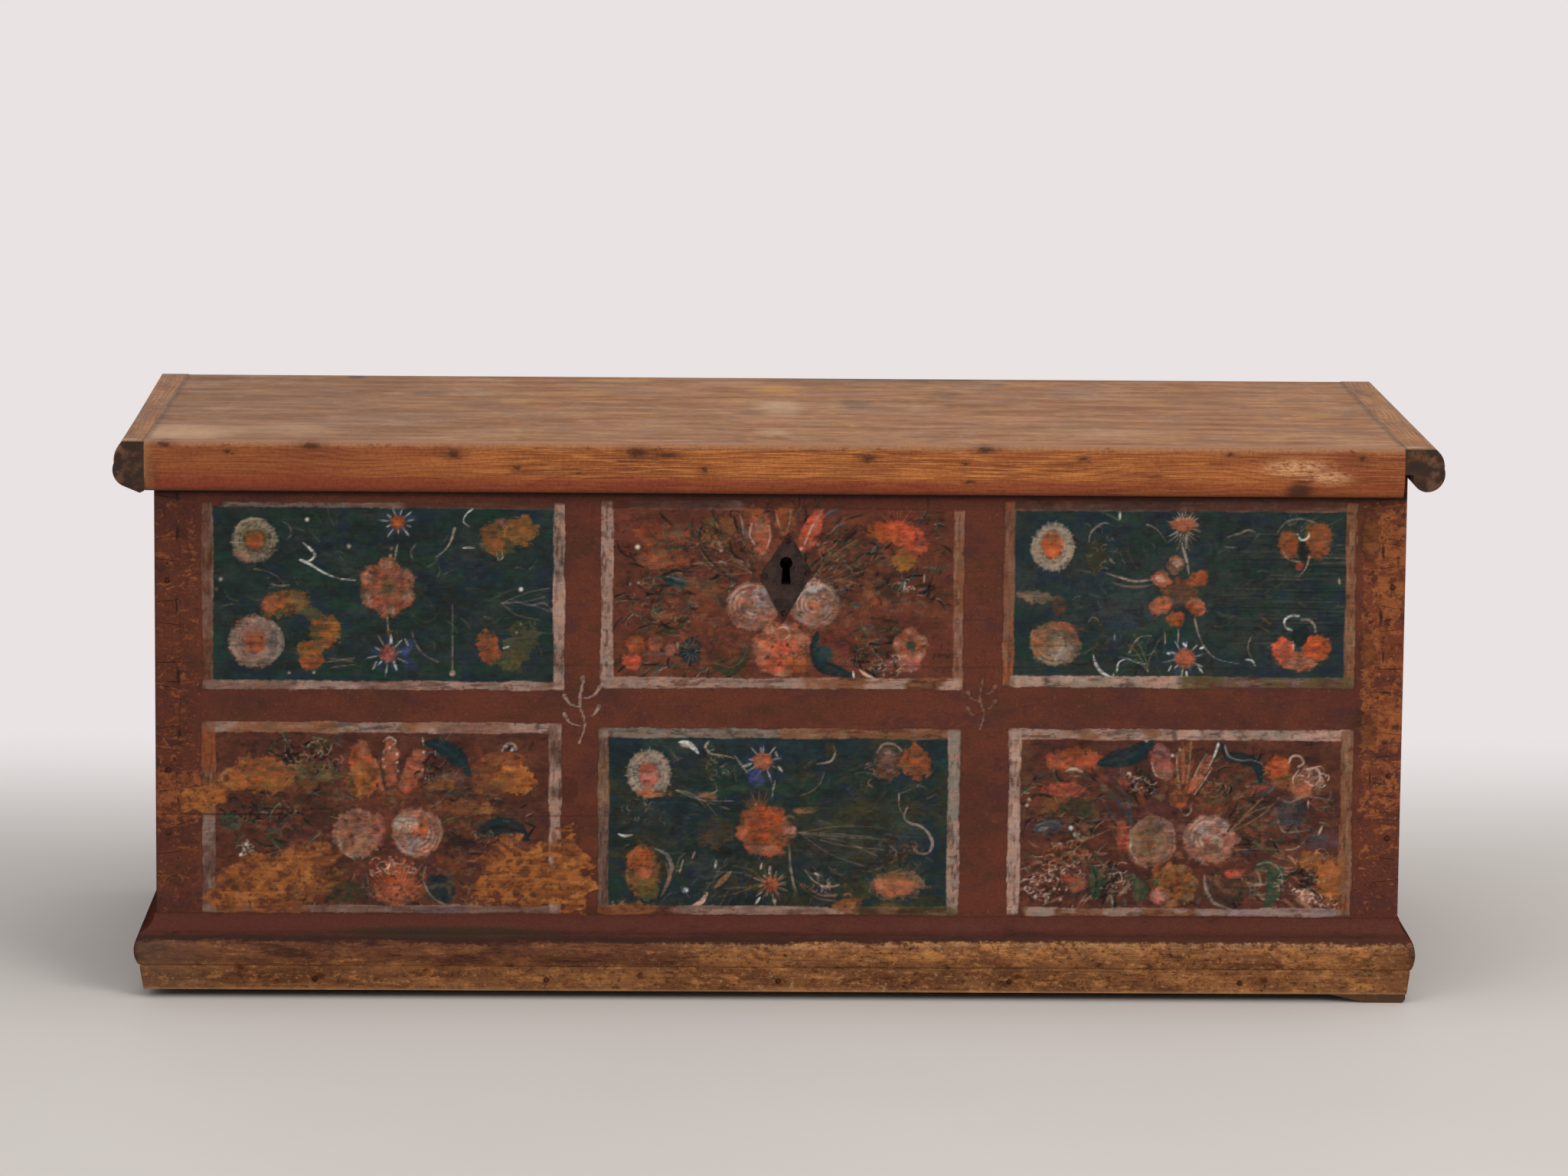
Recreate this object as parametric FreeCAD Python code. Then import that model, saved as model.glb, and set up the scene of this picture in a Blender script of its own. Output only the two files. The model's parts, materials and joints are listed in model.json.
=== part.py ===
import FreeCAD, Part
import math
import os

# Painted pine blanket chest with a hinged lid. Millimetres, front towards -Y, +Z up,
# origin on the floor under the middle of the lid.

Vector = FreeCAD.Vector

# Carcass: dovetailed boards
carcass_length = 1174.0
carcass_depth = 514.0
wall_height = 470.0
wall = 24.0
edge_break = 0.8
corner_wear = 2.0

# Dovetails at the four corners: the sides carry the pins, front and back the tails
pin_count = 7
pin_height = 24.0
pin_slope = 3.0
lowest_tail = 18.0
top_pin_height = 32.0
dovetail_gap = 0.4

# Bottom and runners
bottom_thickness = 22.0
bottom_gap = 0.6
runner_height = 14.0
runner_width = 70.0
runner_inset = 40.0
runner_setback = 60.0
peg_half_width = 6.0
peg_sides = 8
peg_length = 30.0
peg_inset = 50.0
pegs_in_runner = 3

# Plinth moulding, mitred at the two front corners
plinth_bottom = 8.0
plinth_height = 71.0
plinth_front_projection = 20.0
plinth_left_projection = 20.0
plinth_right_projection = 15.0
plinth_feather = 1.5
mitre_reach = 1.3
lip_length = 72.0
lip_slope = 34.0
lip_thickness = 16.0
# The moulded section in shares of its projection and of its height down from the top
plinth_cove_middle = (0.28, 0.15)
plinth_cove_end = (0.72, 0.23)
plinth_nose_start = (0.78, 0.25)
plinth_nose_middle = (1.0, 0.47)
plinth_nose_end = (0.80, 0.65)
plinth_quirk_top = (0.72, 0.66)
plinth_fillet_top = (0.74, 0.69)
plinth_foot = 0.58

# Lid: three boards, a moulded front edge and two end cleats
lid_thickness = 24.0
front_board_depth = 114.0
rear_board_depth = 180.0
rear_overhang = 20.0
front_clearance = 2.0
moulding_thickness = 24.0
moulding_height = 47.0
moulding_round = 4.0
moulding_upright = 0.60
moulding_belly = (2.5, 0.82)
moulding_undercut = 11.0
lid_gap_left = 7.0
lid_setback_right = 6.0
lid_joint_gap = 0.5
lid_rear_round = 5.0
tongue_length = 9.0
tongue_thickness = 8.0
tongue_clearance = 0.3
left_cleat_width = 29.0
left_cleat_worn_width = 28.0
left_cleat_height = 48.0
left_cleat_top_share = 0.93
left_cleat_worn_top_share = 0.72
right_cleat_width = 37.0
right_cleat_height = 40.0
right_cleat_rebate = 8.0
right_cleat_round = 8.0

# Till at the left end
till_drop = 30.0
till_height = 96.0
till_width = 110.0
till_board = 12.0
till_housing = 6.0
till_clearance = 0.2

# Hinges: wrought straps under the lid, plates on the outside of the back
hinge_spacing = 760.0
eye_radius = 6.0
knuckle_radius = 5.6
pin_radius = 3.0
pin_clearance = 0.2
hinge_axis_gap = 0.5
strap_width = 24.0
strap_thickness = 3.0
strap_length = 330.0
strap_tip_width = 16.0
strap_leaf_radius = 17.0
strap_point_length = 6.0
strap_point_half_width = 3.0
strap_nail_count = 5
strap_nail_from_wall = 22.0
notch_clearance = 1.0
knuckle_width = 12.0
knuckle_gap = 0.5
plate_thickness = 3.0
plate_drop = 104.0
plate_waist = 30.0
plate_leaf_radius = 20.0
plate_leaf_neck = 4.0
plate_shoulder_drop = 26.0
plate_shoulder_curve = (2.0, 36.0)
plate_waist_drop = 50.0
plate_top_nail_drop = 14.0
plate_top_nail_from_strap = 5.0
plate_waist_nail_rise = 58.0
plate_waist_nail_from_edge = 8.0
pin_head_radius = 4.4
pin_head_length = 2.0

# Lock: keyhole, plate, bolt in two guides, spring, key bridge, hasp under the lid
key_from_middle = 4.5
key_below_top = 90.0
keyhole_radius = 6.0
keyhole_drop = 20.0
keyhole_slot_width = 6.4
keyhole_foot_width = 8.8
keyhole_wood_gap = 1.5
escutcheon_thickness = 1.6
escutcheon_half_width = 24.6
escutcheon_above = 29.0
escutcheon_below = 56.5
escutcheon_lean = 2.6
escutcheon_waist_drop = 11.0
escutcheon_nail_share = 0.80
lock_plate_thickness = 2.5
lock_plate_left = 58.0
lock_plate_right = 62.0
lock_plate_below = 28.0
lock_plate_top_gap = 8.0
lock_plate_corner = 12.0
bolt_stand_off = 13.0
bolt_thickness = 5.0
bolt_height = 14.0
bolt_above_key = 22.0
bolt_tail = 52.0
bolt_nose = 24.0
bolt_travel = 12.0
bolt_notch_width = 9.0
bolt_notch_depth = 4.5
bolt_chamfer = 2.0
bolt_clearance = 0.4
guide_width = 8.0
guide_wall = 3.6
left_guide_from_key = 45.0
right_guide_from_key = 8.0
bridge_half_width = 22.0
bridge_strap = 3.0
bridge_height = 16.0
bridge_stand_off = 24.5
key_post_radius = 2.5
key_post_tip_gap = 1.0
spring_thickness = 1.2
spring_foot_width = 6.0
spring_foot_height = 8.0
spring_foot_rise = 10.0
spring_foot_from_key = 55.0
spring_tip_from_key = 1.0
spring_tip_gap = 0.4
spring_bow = 1.6
spring_root = 2.0
hasp_from_bolt = 4.0
hasp_thickness = 4.0
hasp_width = 14.0
hasp_from_wall = 11.0
hasp_eye_clearance = 1.5
hasp_rim = 3.5
hasp_bevel = 3.0
hasp_plate_thickness = 2.5
hasp_plate_length = 50.0
hasp_plate_depth = 40.0
hasp_plate_from_wall = 6.0

# Wrought nails with rose heads
nail_shank = 3.6
nail_head = 9.0
nail_head_top = 3.6
nail_head_height = 2.2
small_nail_head = 6.0
corner_nail_length = 56.0
board_nail_length = 44.0
plinth_nail_length = 34.0
short_nail_length = 17.0
plinth_nail_count = 5
plinth_nail_height = 11.0
plinth_nail_end = 150.0
side_plinth_nail_count = 3
bottom_nail_inset = 40.0
plate_nail_inset = 8.0

# Places that follow from the sizes
plank_length = carcass_length + lid_gap_left - lid_setback_right
lid_span = left_cleat_width + plank_length + right_cleat_width
plank_left = left_cleat_width - lid_span / 2
plank_right = plank_left + plank_length
left = plank_left + lid_gap_left
right = left + carcass_length
middle = (left + right) / 2

lid_depth = moulding_thickness + front_clearance + carcass_depth + rear_overhang
lid_front = -lid_depth / 2
lid_back = lid_depth / 2
boards_front = lid_front + moulding_thickness
front = boards_front + front_clearance
back = front + carcass_depth
inner_front = front + wall
inner_back = back - wall

wall_bottom = runner_height + bottom_thickness
wall_top = wall_bottom + wall_height
lid_top = wall_top + lid_thickness
moulding_bottom = lid_top - moulding_height

pin_pitch = (wall_height - lowest_tail - top_pin_height) / pin_count
front_joint_pins = (2, 4)
side_joint_tail = 3
back_joint_tail = 2


def pin_low(i):
    return wall_bottom + lowest_tail + i * pin_pitch


def pin_high(i):
    return wall_top if i == pin_count else pin_low(i) + pin_height


def tail_middle(i):
    return (pin_high(i) + pin_low(i + 1)) / 2


front_joint_low = pin_low(front_joint_pins[0])
front_joint_high = pin_high(front_joint_pins[1])
side_joint = tail_middle(side_joint_tail)
back_joint = tail_middle(back_joint_tail)

hinge_axis_y = back + eye_radius + hinge_axis_gap
hinge_axis_z = wall_top - eye_radius
hinge_places = {"left": middle - hinge_spacing / 2, "right": middle + hinge_spacing / 2}

key_x = middle + key_from_middle
key_z = wall_top - key_below_top
plate_face = inner_front + lock_plate_thickness
bolt_front = plate_face + bolt_stand_off
bolt_back = bolt_front + bolt_thickness
bolt_low = key_z + bolt_above_key
bolt_high = bolt_low + bolt_height
bolt_end = key_x + bolt_nose


def box(x0, x1, y0, y1, z0, z1):
    return Part.makeBox(x1 - x0, y1 - y0, z1 - z0, Vector(x0, y0, z0))


def outline(start, steps, place):
    # Each step is an end point for a line, or a middle and an end point for an arc.
    edges = []
    here = start
    for step in steps:
        if len(step) == 1:
            edges.append(Part.LineSegment(place(here), place(step[0])).toShape())
        else:
            edges.append(Part.Arc(place(here), place(step[0]), place(step[1])).toShape())
        here = step[-1]
    if (place(here) - place(start)).Length > 1e-6:
        edges.append(Part.LineSegment(place(here), place(start)).toShape())
    return Part.Wire(edges)


def polygon(points, place):
    return outline(points[0], [(point,) for point in points[1:]], place)


def along_x(points, x0, x1):
    wire = polygon(points, lambda p: Vector(x0, p[0], p[1]))
    return Part.Face(wire).extrude(Vector(x1 - x0, 0, 0))


def along_y(points, y0, y1):
    wire = polygon(points, lambda p: Vector(p[0], y0, p[1]))
    return Part.Face(wire).extrude(Vector(0, y1 - y0, 0))


def along_z(points, z0, z1):
    wire = polygon(points, lambda p: Vector(p[0], p[1], z0))
    return Part.Face(wire).extrude(Vector(0, 0, z1 - z0))


def rod_x(radius, x0, x1, y, z):
    return Part.makeCylinder(radius, x1 - x0, Vector(x0, y, z), Vector(1, 0, 0))


def rod_y(radius, y0, y1, x, z):
    return Part.makeCylinder(radius, y1 - y0, Vector(x, y0, z), Vector(0, 1, 0))


def cut_all(shape, tools):
    return shape.cut(tools) if tools else shape


def save(name, shape):
    if not shape.isValid():
        raise ValueError(name + " is not a valid solid")
    shape.exportStep("parts/" + name + ".step")
    print(name, len(shape.Solids), round(shape.Volume / 1000, 1), "cm3")


def save_group(name, solids):
    save(name, Part.makeCompound(solids))


# Nails

def aimed(shape, at, direction):
    shape.Placement = FreeCAD.Placement(at, FreeCAD.Rotation(Vector(0, 1, 0), direction))
    return shape


def shank(length):
    half = nail_shank / 2
    return box(-half, half, 0, length, -half, half)


def nail(at, direction, length, head=nail_head):
    # The head, a low pyramid, stands outside the surface at "at"; the shank runs along direction.
    h = head / 2
    t = nail_head_top / 2
    cap = Part.makeWedge(-t, -nail_head_height, -t, -h, -h, t, 0, t, h, h)
    return aimed(cap.fuse(shank(length)), at, direction)


def nail_hole(at, direction, length):
    return aimed(shank(length), at, direction)


def nails(places, direction, length, head=nail_head):
    return [nail(at, direction, length, head) for at in places]


def holes(places, direction, length):
    return [nail_hole(at, direction, length) for at in places]


def spaced(first, last, count):
    step = (last - first) / (count - 1)
    return [first + i * step for i in range(count)]


def corner_nail_places():
    # One nail through a tail of each front and back board into the end of the side.
    heights = [tail_middle(1), tail_middle(2), tail_middle(5)]
    ends = [left + wall / 2, right - wall / 2]
    return [(x, z) for x in ends for z in heights]


front_corner_nails = [Vector(x, front, z) for x, z in corner_nail_places()]
back_corner_nails = [Vector(x, back, z) for x, z in corner_nail_places()]
corner_holes = (holes(front_corner_nails, Vector(0, 1, 0), corner_nail_length)
                + holes(back_corner_nails, Vector(0, -1, 0), corner_nail_length))


# Dovetailed walls

def pin(i, base_x, end_x, y0, y1, grow=0.0):
    # The side pin narrows from the base line of the tails to the outer face of the side.
    slope_low = 0.0 if i == front_joint_pins[0] else pin_slope
    slope_high = 0.0 if i in (front_joint_pins[1], pin_count) else pin_slope
    low = pin_low(i) - grow
    high = pin_high(i) + grow
    points = [(base_x, low), (base_x, high), (end_x, high - slope_high), (end_x, low + slope_low)]
    return along_y(points, y0, y1)


def sockets(y0, y1):
    shapes = []
    for i in range(pin_count + 1):
        shapes.append(pin(i, left + wall, left, y0, y1, dovetail_gap))
        shapes.append(pin(i, right - wall, right, y0, y1, dovetail_gap))
    return shapes


def worn_corners():
    shapes = []
    for x, side in ((left, 1), (right, -1)):
        for y, face in ((front, 1), (back, -1)):
            points = [(x, y), (x + side * corner_wear, y), (x, y + face * corner_wear)]
            shapes.append(along_z(points, wall_bottom, wall_top))
    return shapes


def wall_board(z0, z1, outer_y, inner_y):
    # A front or back board: its outer long edges are broken, its ends carry the tails.
    e = edge_break if outer_y < inner_y else -edge_break
    points = [(outer_y + e, z0), (outer_y, z0 + edge_break), (outer_y, z1 - edge_break),
              (outer_y + e, z1), (inner_y, z1), (inner_y, z0)]
    board = along_x(points, left, right)
    y0, y1 = min(outer_y, inner_y), max(outer_y, inner_y)
    return cut_all(board, sockets(y0, y1) + worn_corners() + corner_holes)


def side_board(outer_x, inner_x, z0, z1):
    e = edge_break if outer_x < inner_x else -edge_break
    points = [(outer_x + e, z0), (outer_x, z0 + edge_break), (outer_x, z1 - edge_break),
              (outer_x + e, z1), (inner_x, z1), (inner_x, z0)]
    board = along_y(points, inner_front, inner_back)
    pins = []
    for i in range(pin_count + 1):
        if z0 <= pin_low(i) and pin_high(i) <= z1:
            pins.append(pin(i, inner_x, outer_x, front, inner_front))
            pins.append(pin(i, inner_x, outer_x, inner_back, back))
    return cut_all(board.fuse(pins), worn_corners() + corner_holes)


def keyhole(y0, y1, grow=0.0):
    slot = [(key_x - keyhole_slot_width / 2 - grow, key_z), (key_x + keyhole_slot_width / 2 + grow, key_z),
            (key_x + keyhole_foot_width / 2 + grow, key_z - keyhole_drop - grow),
            (key_x - keyhole_foot_width / 2 - grow, key_z - keyhole_drop - grow)]
    return rod_y(keyhole_radius + grow, y0, y1, key_x, key_z).fuse(along_y(slot, y0, y1))


# Till

till_top = wall_top - till_drop
till_floor = till_top - till_height
till_outer_x = left + wall + till_width + till_board


def till_bottom(grow=0.0):
    return box(left + wall - till_housing - grow, till_outer_x + grow,
               inner_front - till_housing - grow, inner_back + till_housing + grow,
               till_floor - grow, till_floor + till_board + grow)


def till_wall(grow=0.0):
    return box(till_outer_x - till_board - grow, till_outer_x + grow,
               inner_front - till_housing - grow, inner_back + till_housing + grow,
               till_floor + till_board, till_top + grow)


def till_grooves():
    return [till_bottom(till_clearance), till_wall(till_clearance)]


# Bottom, runners and pegs

def bottom_board_edges():
    third = carcass_depth / 3
    return [(front + i * third, front + (i + 1) * third) for i in range(3)]


def bottom_nail_places():
    places = []
    for y0, y1 in bottom_board_edges():
        for x in (left + wall / 2, right - wall / 2):
            places.append(Vector(x, y0 + bottom_nail_inset, runner_height))
            places.append(Vector(x, y1 - bottom_nail_inset, runner_height))
    return places


def runner_starts():
    return {"left": left + runner_inset, "right": right - runner_inset - runner_width}


def peg_places():
    places = []
    for x0 in runner_starts().values():
        for y in spaced(front + runner_setback + peg_inset, back - runner_setback - peg_inset, pegs_in_runner):
            places.append(Vector(x0 + runner_width / 2, y, 0))
    return places


def peg(at):
    # Whittled with flat sides, so that it holds in its hole.
    step = math.pi / peg_sides
    r = peg_half_width / math.cos(step)
    turns = [step * (2 * i + 1) for i in range(peg_sides)]
    return along_z([(at.x + r * math.cos(a), at.y + r * math.sin(a)) for a in turns], 0, peg_length)


def pegs():
    return [peg(at) for at in peg_places()]


def bottom_board(y0, y1):
    half = bottom_gap / 2
    first = y0 if y0 == front else y0 + half
    last = y1 if y1 == back else y1 - half
    board = box(left, right, first, last, runner_height, wall_bottom)
    return cut_all(board, pegs() + holes(bottom_nail_places(), Vector(0, 0, 1), board_nail_length))


def runner(x0):
    # The front and back ends are sloped like the toe of a sledge.
    y0 = front + runner_setback
    y1 = back - runner_setback
    toe = runner_height
    points = [(y0 + toe, 0), (y1 - toe, 0), (y1, runner_height), (y0, runner_height)]
    return cut_all(along_x(points, x0, x0 + runner_width), pegs())


# Plinth

def plinth_outline(out, place):
    # Hollow cove at the top, swelling nose, a small quirk and a plain fillet below.
    top = plinth_bottom + plinth_height

    def at(shares):
        return out * shares[0], top - plinth_height * shares[1]

    steps = [((plinth_feather, top),),
             (at(plinth_cove_middle), at(plinth_cove_end)),
             (at(plinth_nose_start),),
             (at(plinth_nose_middle), at(plinth_nose_end)),
             (at(plinth_quirk_top),),
             (at(plinth_fillet_top),),
             ((out * plinth_foot, plinth_bottom),),
             ((0, plinth_bottom),)]
    return outline((0, top), steps, place)


def mitre_prism(corners):
    return along_z(corners, 0, plinth_bottom + plinth_height)


def fillet_face(out):
    # How far the sloping fillet stands out behind the upper edge of a nail head.
    fillet_out, fillet_drop = plinth_fillet_top
    share = (plinth_nail_height + small_nail_head / 2) / (plinth_height * (1 - fillet_drop))
    return out * (plinth_foot + (fillet_out - plinth_foot) * share)


def plinth_front_nails():
    xs = spaced(left + plinth_nail_end, right - plinth_nail_end, plinth_nail_count)
    y = front - fillet_face(plinth_front_projection)
    return [Vector(x, y, plinth_bottom + plinth_nail_height) for x in xs]


def plinth_side_nails(x):
    ys = spaced(front + plinth_nail_end / 2, back - plinth_nail_end / 2, side_plinth_nail_count)
    return [Vector(x, y, plinth_bottom + plinth_nail_height) for y in ys]


plinth_left_nails = plinth_side_nails(left - fillet_face(plinth_left_projection))
plinth_right_nails = plinth_side_nails(right + fillet_face(plinth_right_projection))
plinth_holes = (holes(plinth_front_nails(), Vector(0, 1, 0), plinth_nail_length)
                + holes(plinth_left_nails, Vector(1, 0, 0), plinth_nail_length)
                + holes(plinth_right_nails, Vector(-1, 0, 0), plinth_nail_length))


def plinth_front():
    start = left - plinth_left_projection * 2
    end = right + plinth_right_projection * 2
    wire = plinth_outline(plinth_front_projection, lambda p: Vector(start, front - p[0], p[1]))
    strip = Part.Face(wire).extrude(Vector(end - start, 0, 0))
    y = front - plinth_front_projection * mitre_reach
    mitre = mitre_prism([(left, front), (right, front), (right + plinth_right_projection * mitre_reach, y),
                         (left - plinth_left_projection * mitre_reach, y)])
    return cut_all(strip.common(mitre).fuse(plinth_lip()), plinth_holes)


def plinth_lip():
    # At the right end the moulding keeps its full height and reaches the floor.
    end = right + plinth_right_projection * 0.5
    start = end - lip_length
    round_off = plinth_bottom * 0.6
    steps = [((start + lip_slope, 0),), ((end - round_off, 0),),
             ((end - round_off * 0.3, round_off * 0.3), (end, round_off)),
             ((end, plinth_bottom),)]
    y0 = front - plinth_front_projection * plinth_foot
    wire = outline((start, plinth_bottom), steps, lambda p: Vector(p[0], y0, p[1]))
    return Part.Face(wire).extrude(Vector(0, lip_thickness, 0))


def plinth_side(x, projection):
    # projection is negative on the left end, positive on the right.
    out = abs(projection)
    side = 1 if projection > 0 else -1
    start = front - plinth_front_projection * mitre_reach
    wire = plinth_outline(out, lambda p: Vector(x + side * p[0], start, p[1]))
    strip = Part.Face(wire).extrude(Vector(0, back - start, 0))
    far = x + projection * mitre_reach
    mitre = mitre_prism([(x, front), (far, start), (far, back), (x, back)])
    return cut_all(strip.common(mitre), plinth_holes)


# Lid

tongue_low = wall_top + (lid_thickness - tongue_thickness) / 2
tongue_high = tongue_low + tongue_thickness


def lid_board(y0, y1, rear=False):
    e = edge_break
    half = lid_joint_gap / 2
    y0 = y0 + half
    y1 = y1 if rear else y1 - half
    r = lid_rear_round if rear else e
    points = [(y0, wall_top), (y1, wall_top), (y1, lid_top - r), (y1 - r, lid_top),
              (y0 + e, lid_top), (y0, lid_top - e)]
    board = along_x(points, plank_left, plank_right)
    tongue = box(plank_left - tongue_length, plank_right + tongue_length, y0, y1 - r, tongue_low, tongue_high)
    return board.fuse(tongue)


def lid_moulding():
    # Upright face, gently swelled, with the lower third turned under.
    top = lid_top
    r = moulding_round
    belly_in, belly_drop = moulding_belly
    steps = [((lid_front + r / 4, top - r / 4), (lid_front, top - r)),
             ((lid_front, top - moulding_height * moulding_upright),),
             ((lid_front + belly_in, top - moulding_height * belly_drop),
              (lid_front + moulding_undercut - 3, moulding_bottom + 1)),
             ((lid_front + moulding_undercut, moulding_bottom),),
             ((boards_front, moulding_bottom),),
             ((boards_front, top),)]
    wire = outline((lid_front + r, top), steps, lambda p: Vector(plank_left, p[0], p[1]))
    return Part.Face(wire).extrude(Vector(plank_length, 0, 0))


def tongue_groove():
    grow = tongue_clearance
    length = tongue_length + grow
    return [box(plank_left - length, plank_left, boards_front, lid_back - lid_rear_round,
                tongue_low - grow, tongue_high + grow),
            box(plank_right, plank_right + length, boards_front, lid_back - lid_rear_round,
                tongue_low - grow, tongue_high + grow)]


def left_cleat_section(y, top_width, nose):
    # Square at the joint, round on the outside, with the foot worn to a slant.
    top = lid_top
    h = left_cleat_height
    steps = [((-top_width, 0),),
             ((-nose * 0.95, -h * 0.20), (-nose, -h * 0.42)),
             ((-nose * 0.97, -h * 0.72), (-nose * 0.72, -h * 0.86)),
             ((-nose * 0.14, -h),),
             ((0, -h * 0.96),)]
    return outline((0, 0), steps, lambda p: Vector(plank_left + p[0], y, top + p[1]))


def left_cleat():
    worn = left_cleat_worn_width
    front_end = left_cleat_section(lid_front, worn * left_cleat_worn_top_share, worn)
    rear_end = left_cleat_section(lid_back, left_cleat_width * left_cleat_top_share, left_cleat_width)
    return cut_all(Part.makeLoft([front_end, rear_end], True, True), tongue_groove())


def right_cleat():
    # A thumb moulding hangs outside a rebate that clears the side of the chest.
    w = right_cleat_width
    h = right_cleat_height
    rebate = right_cleat_rebate
    steps = [((w - right_cleat_round, 0),),
             ((w - 2.2, -h * 0.17), (w, -h * 0.45)),
             ((w - 3.5, -h * 0.86), (w * 0.62, -h)),
             ((w * 0.36, -h * 0.94), (rebate, -h * 0.78)),
             ((rebate, -lid_thickness),),
             ((0, -lid_thickness),)]
    wire = outline((0, 0), steps, lambda p: Vector(plank_right + p[0], lid_front, lid_top + p[1]))
    return cut_all(Part.Face(wire).extrude(Vector(0, lid_depth, 0)), tongue_groove())


# Hinges

strap_under = wall_top - strap_thickness


def strap_outline(x):
    # The strap tapers from the eye towards a round leaf with a short point.
    y0 = hinge_axis_y
    neck = y0 - strap_length + 2 * strap_leaf_radius
    leaf = neck - strap_leaf_radius
    tip = y0 - strap_length
    w = strap_width / 2
    t = strap_tip_width / 2
    r = strap_leaf_radius
    point = strap_point_half_width
    root = tip + strap_point_length
    steps = [((x - t, neck),), ((x - r, leaf), (x - point, root)), ((x, tip),), ((x + point, root),),
             ((x + r, leaf), (x + t, neck)), ((x + w, y0),)]
    return outline((x - w, y0), steps, lambda p: Vector(p[0], p[1], strap_under))


def strap_nail_places(x):
    last = hinge_axis_y - strap_length + strap_leaf_radius
    ys = spaced(inner_back - strap_nail_from_wall, last, strap_nail_count)
    return [Vector(x, y, strap_under) for y in ys]


def hinge_bore(x0, x1):
    return rod_x(pin_radius + pin_clearance, x0, x1, hinge_axis_y, hinge_axis_z)


def hinge_strap(x):
    w = strap_width / 2
    strap = Part.Face(strap_outline(x)).extrude(Vector(0, 0, strap_thickness))
    eye = rod_x(eye_radius, x - w, x + w, hinge_axis_y, hinge_axis_z)
    drilled = strap.fuse(eye).cut(hinge_bore(x - w, x + w))
    return cut_all(drilled, holes(strap_nail_places(x), Vector(0, 0, 1), short_nail_length))


def strap_notch(x):
    w = strap_width / 2 + notch_clearance
    return box(x - w, x + w, inner_back, back, strap_under - notch_clearance, wall_top)


def plate_nail_places(x):
    face = back + plate_thickness
    top = hinge_axis_z - eye_radius - plate_top_nail_drop
    side = strap_width / 2 + plate_top_nail_from_strap
    waist = plate_waist / 2 - plate_waist_nail_from_edge
    foot = top - plate_drop
    return [Vector(x - side, face, top), Vector(x + side, face, top),
            Vector(x - waist, face, foot + plate_waist_nail_rise), Vector(x, face, foot + plate_leaf_radius)]


def hinge_plate(x):
    # A waisted plate with a round leaf at the foot and two knuckles beside the strap's eye.
    w = strap_width / 2
    outer = w + knuckle_gap + knuckle_width
    top = hinge_axis_z - eye_radius - knuckle_gap
    foot = top - plate_drop
    leaf = foot + plate_leaf_radius
    waist = plate_waist / 2
    neck = waist - plate_leaf_neck
    neck_z = leaf + plate_leaf_radius * 0.8
    bend = waist + plate_shoulder_curve[0]
    bend_z = top - plate_shoulder_curve[1]
    shoulder = top - plate_shoulder_drop
    steps = [((x + outer, top),), ((x + outer, shoulder),), ((x + bend, bend_z), (x + waist, top - plate_waist_drop)),
             ((x + neck, neck_z),),
             ((x + plate_leaf_radius, leaf), (x, foot)),
             ((x - plate_leaf_radius, leaf), (x - neck, neck_z)),
             ((x - waist, top - plate_waist_drop),), ((x - bend, bend_z), (x - outer, shoulder))]
    wire = outline((x - outer, top), steps, lambda p: Vector(p[0], back, p[1]))
    plate = Part.Face(wire).extrude(Vector(0, plate_thickness, 0))
    for x0 in (x - outer, x + w + knuckle_gap):
        x1 = x0 + knuckle_width
        tab = box(x0, x1, back, back + plate_thickness, top, hinge_axis_z)
        knuckle = rod_x(knuckle_radius, x0, x1, hinge_axis_y, hinge_axis_z)
        plate = plate.fuse([tab, knuckle])
    plate = plate.cut(hinge_bore(x - outer, x + outer))
    return cut_all(plate, holes(plate_nail_places(x), Vector(0, -1, 0), short_nail_length + plate_thickness))


def hinge_pin(x):
    outer = strap_width / 2 + knuckle_gap + knuckle_width
    rod = rod_x(pin_radius, x - outer, x + outer, hinge_axis_y, hinge_axis_z)
    heads = [rod_x(pin_head_radius, x - outer - pin_head_length, x - outer, hinge_axis_y, hinge_axis_z),
             rod_x(pin_head_radius, x + outer, x + outer + pin_head_length, hinge_axis_y, hinge_axis_z)]
    return rod.fuse(heads)


all_plate_nails = [at for x in hinge_places.values() for at in plate_nail_places(x)]
all_strap_nails = [at for x in hinge_places.values() for at in strap_nail_places(x)]


# Lock

def escutcheon_corners():
    top = (key_x + escutcheon_lean, key_z + escutcheon_above)
    right_corner = (key_x + escutcheon_half_width, key_z - escutcheon_waist_drop + escutcheon_lean / 2)
    bottom = (key_x - escutcheon_lean, key_z - escutcheon_below)
    left_corner = (key_x - escutcheon_half_width, key_z - escutcheon_waist_drop - escutcheon_lean / 2)
    return [top, right_corner, bottom, left_corner]


def escutcheon_nail_places():
    # One nail just inside each corner of the lozenge.
    places = []
    middle_z = key_z - escutcheon_waist_drop
    for x, z in escutcheon_corners():
        places.append(Vector(key_x + (x - key_x) * escutcheon_nail_share, front - escutcheon_thickness,
                             middle_z + (z - middle_z) * escutcheon_nail_share))
    return places


def escutcheon():
    y = front - escutcheon_thickness
    plate = along_y(escutcheon_corners(), y, front)
    plate = plate.cut(keyhole(y, front))
    return cut_all(plate, holes(escutcheon_nail_places(), Vector(0, 1, 0), short_nail_length))


lock_plate_box = (key_x - lock_plate_left, key_x + lock_plate_right,
                  key_z - lock_plate_below, wall_top - lock_plate_top_gap)


def lock_nail_places():
    x0, x1, z0, z1 = lock_plate_box
    inset = plate_nail_inset + lock_plate_corner / 3
    return [Vector(x, plate_face, z) for x in (x0 + inset, x1 - inset) for z in (z0 + inset, z1 - inset)]


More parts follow.
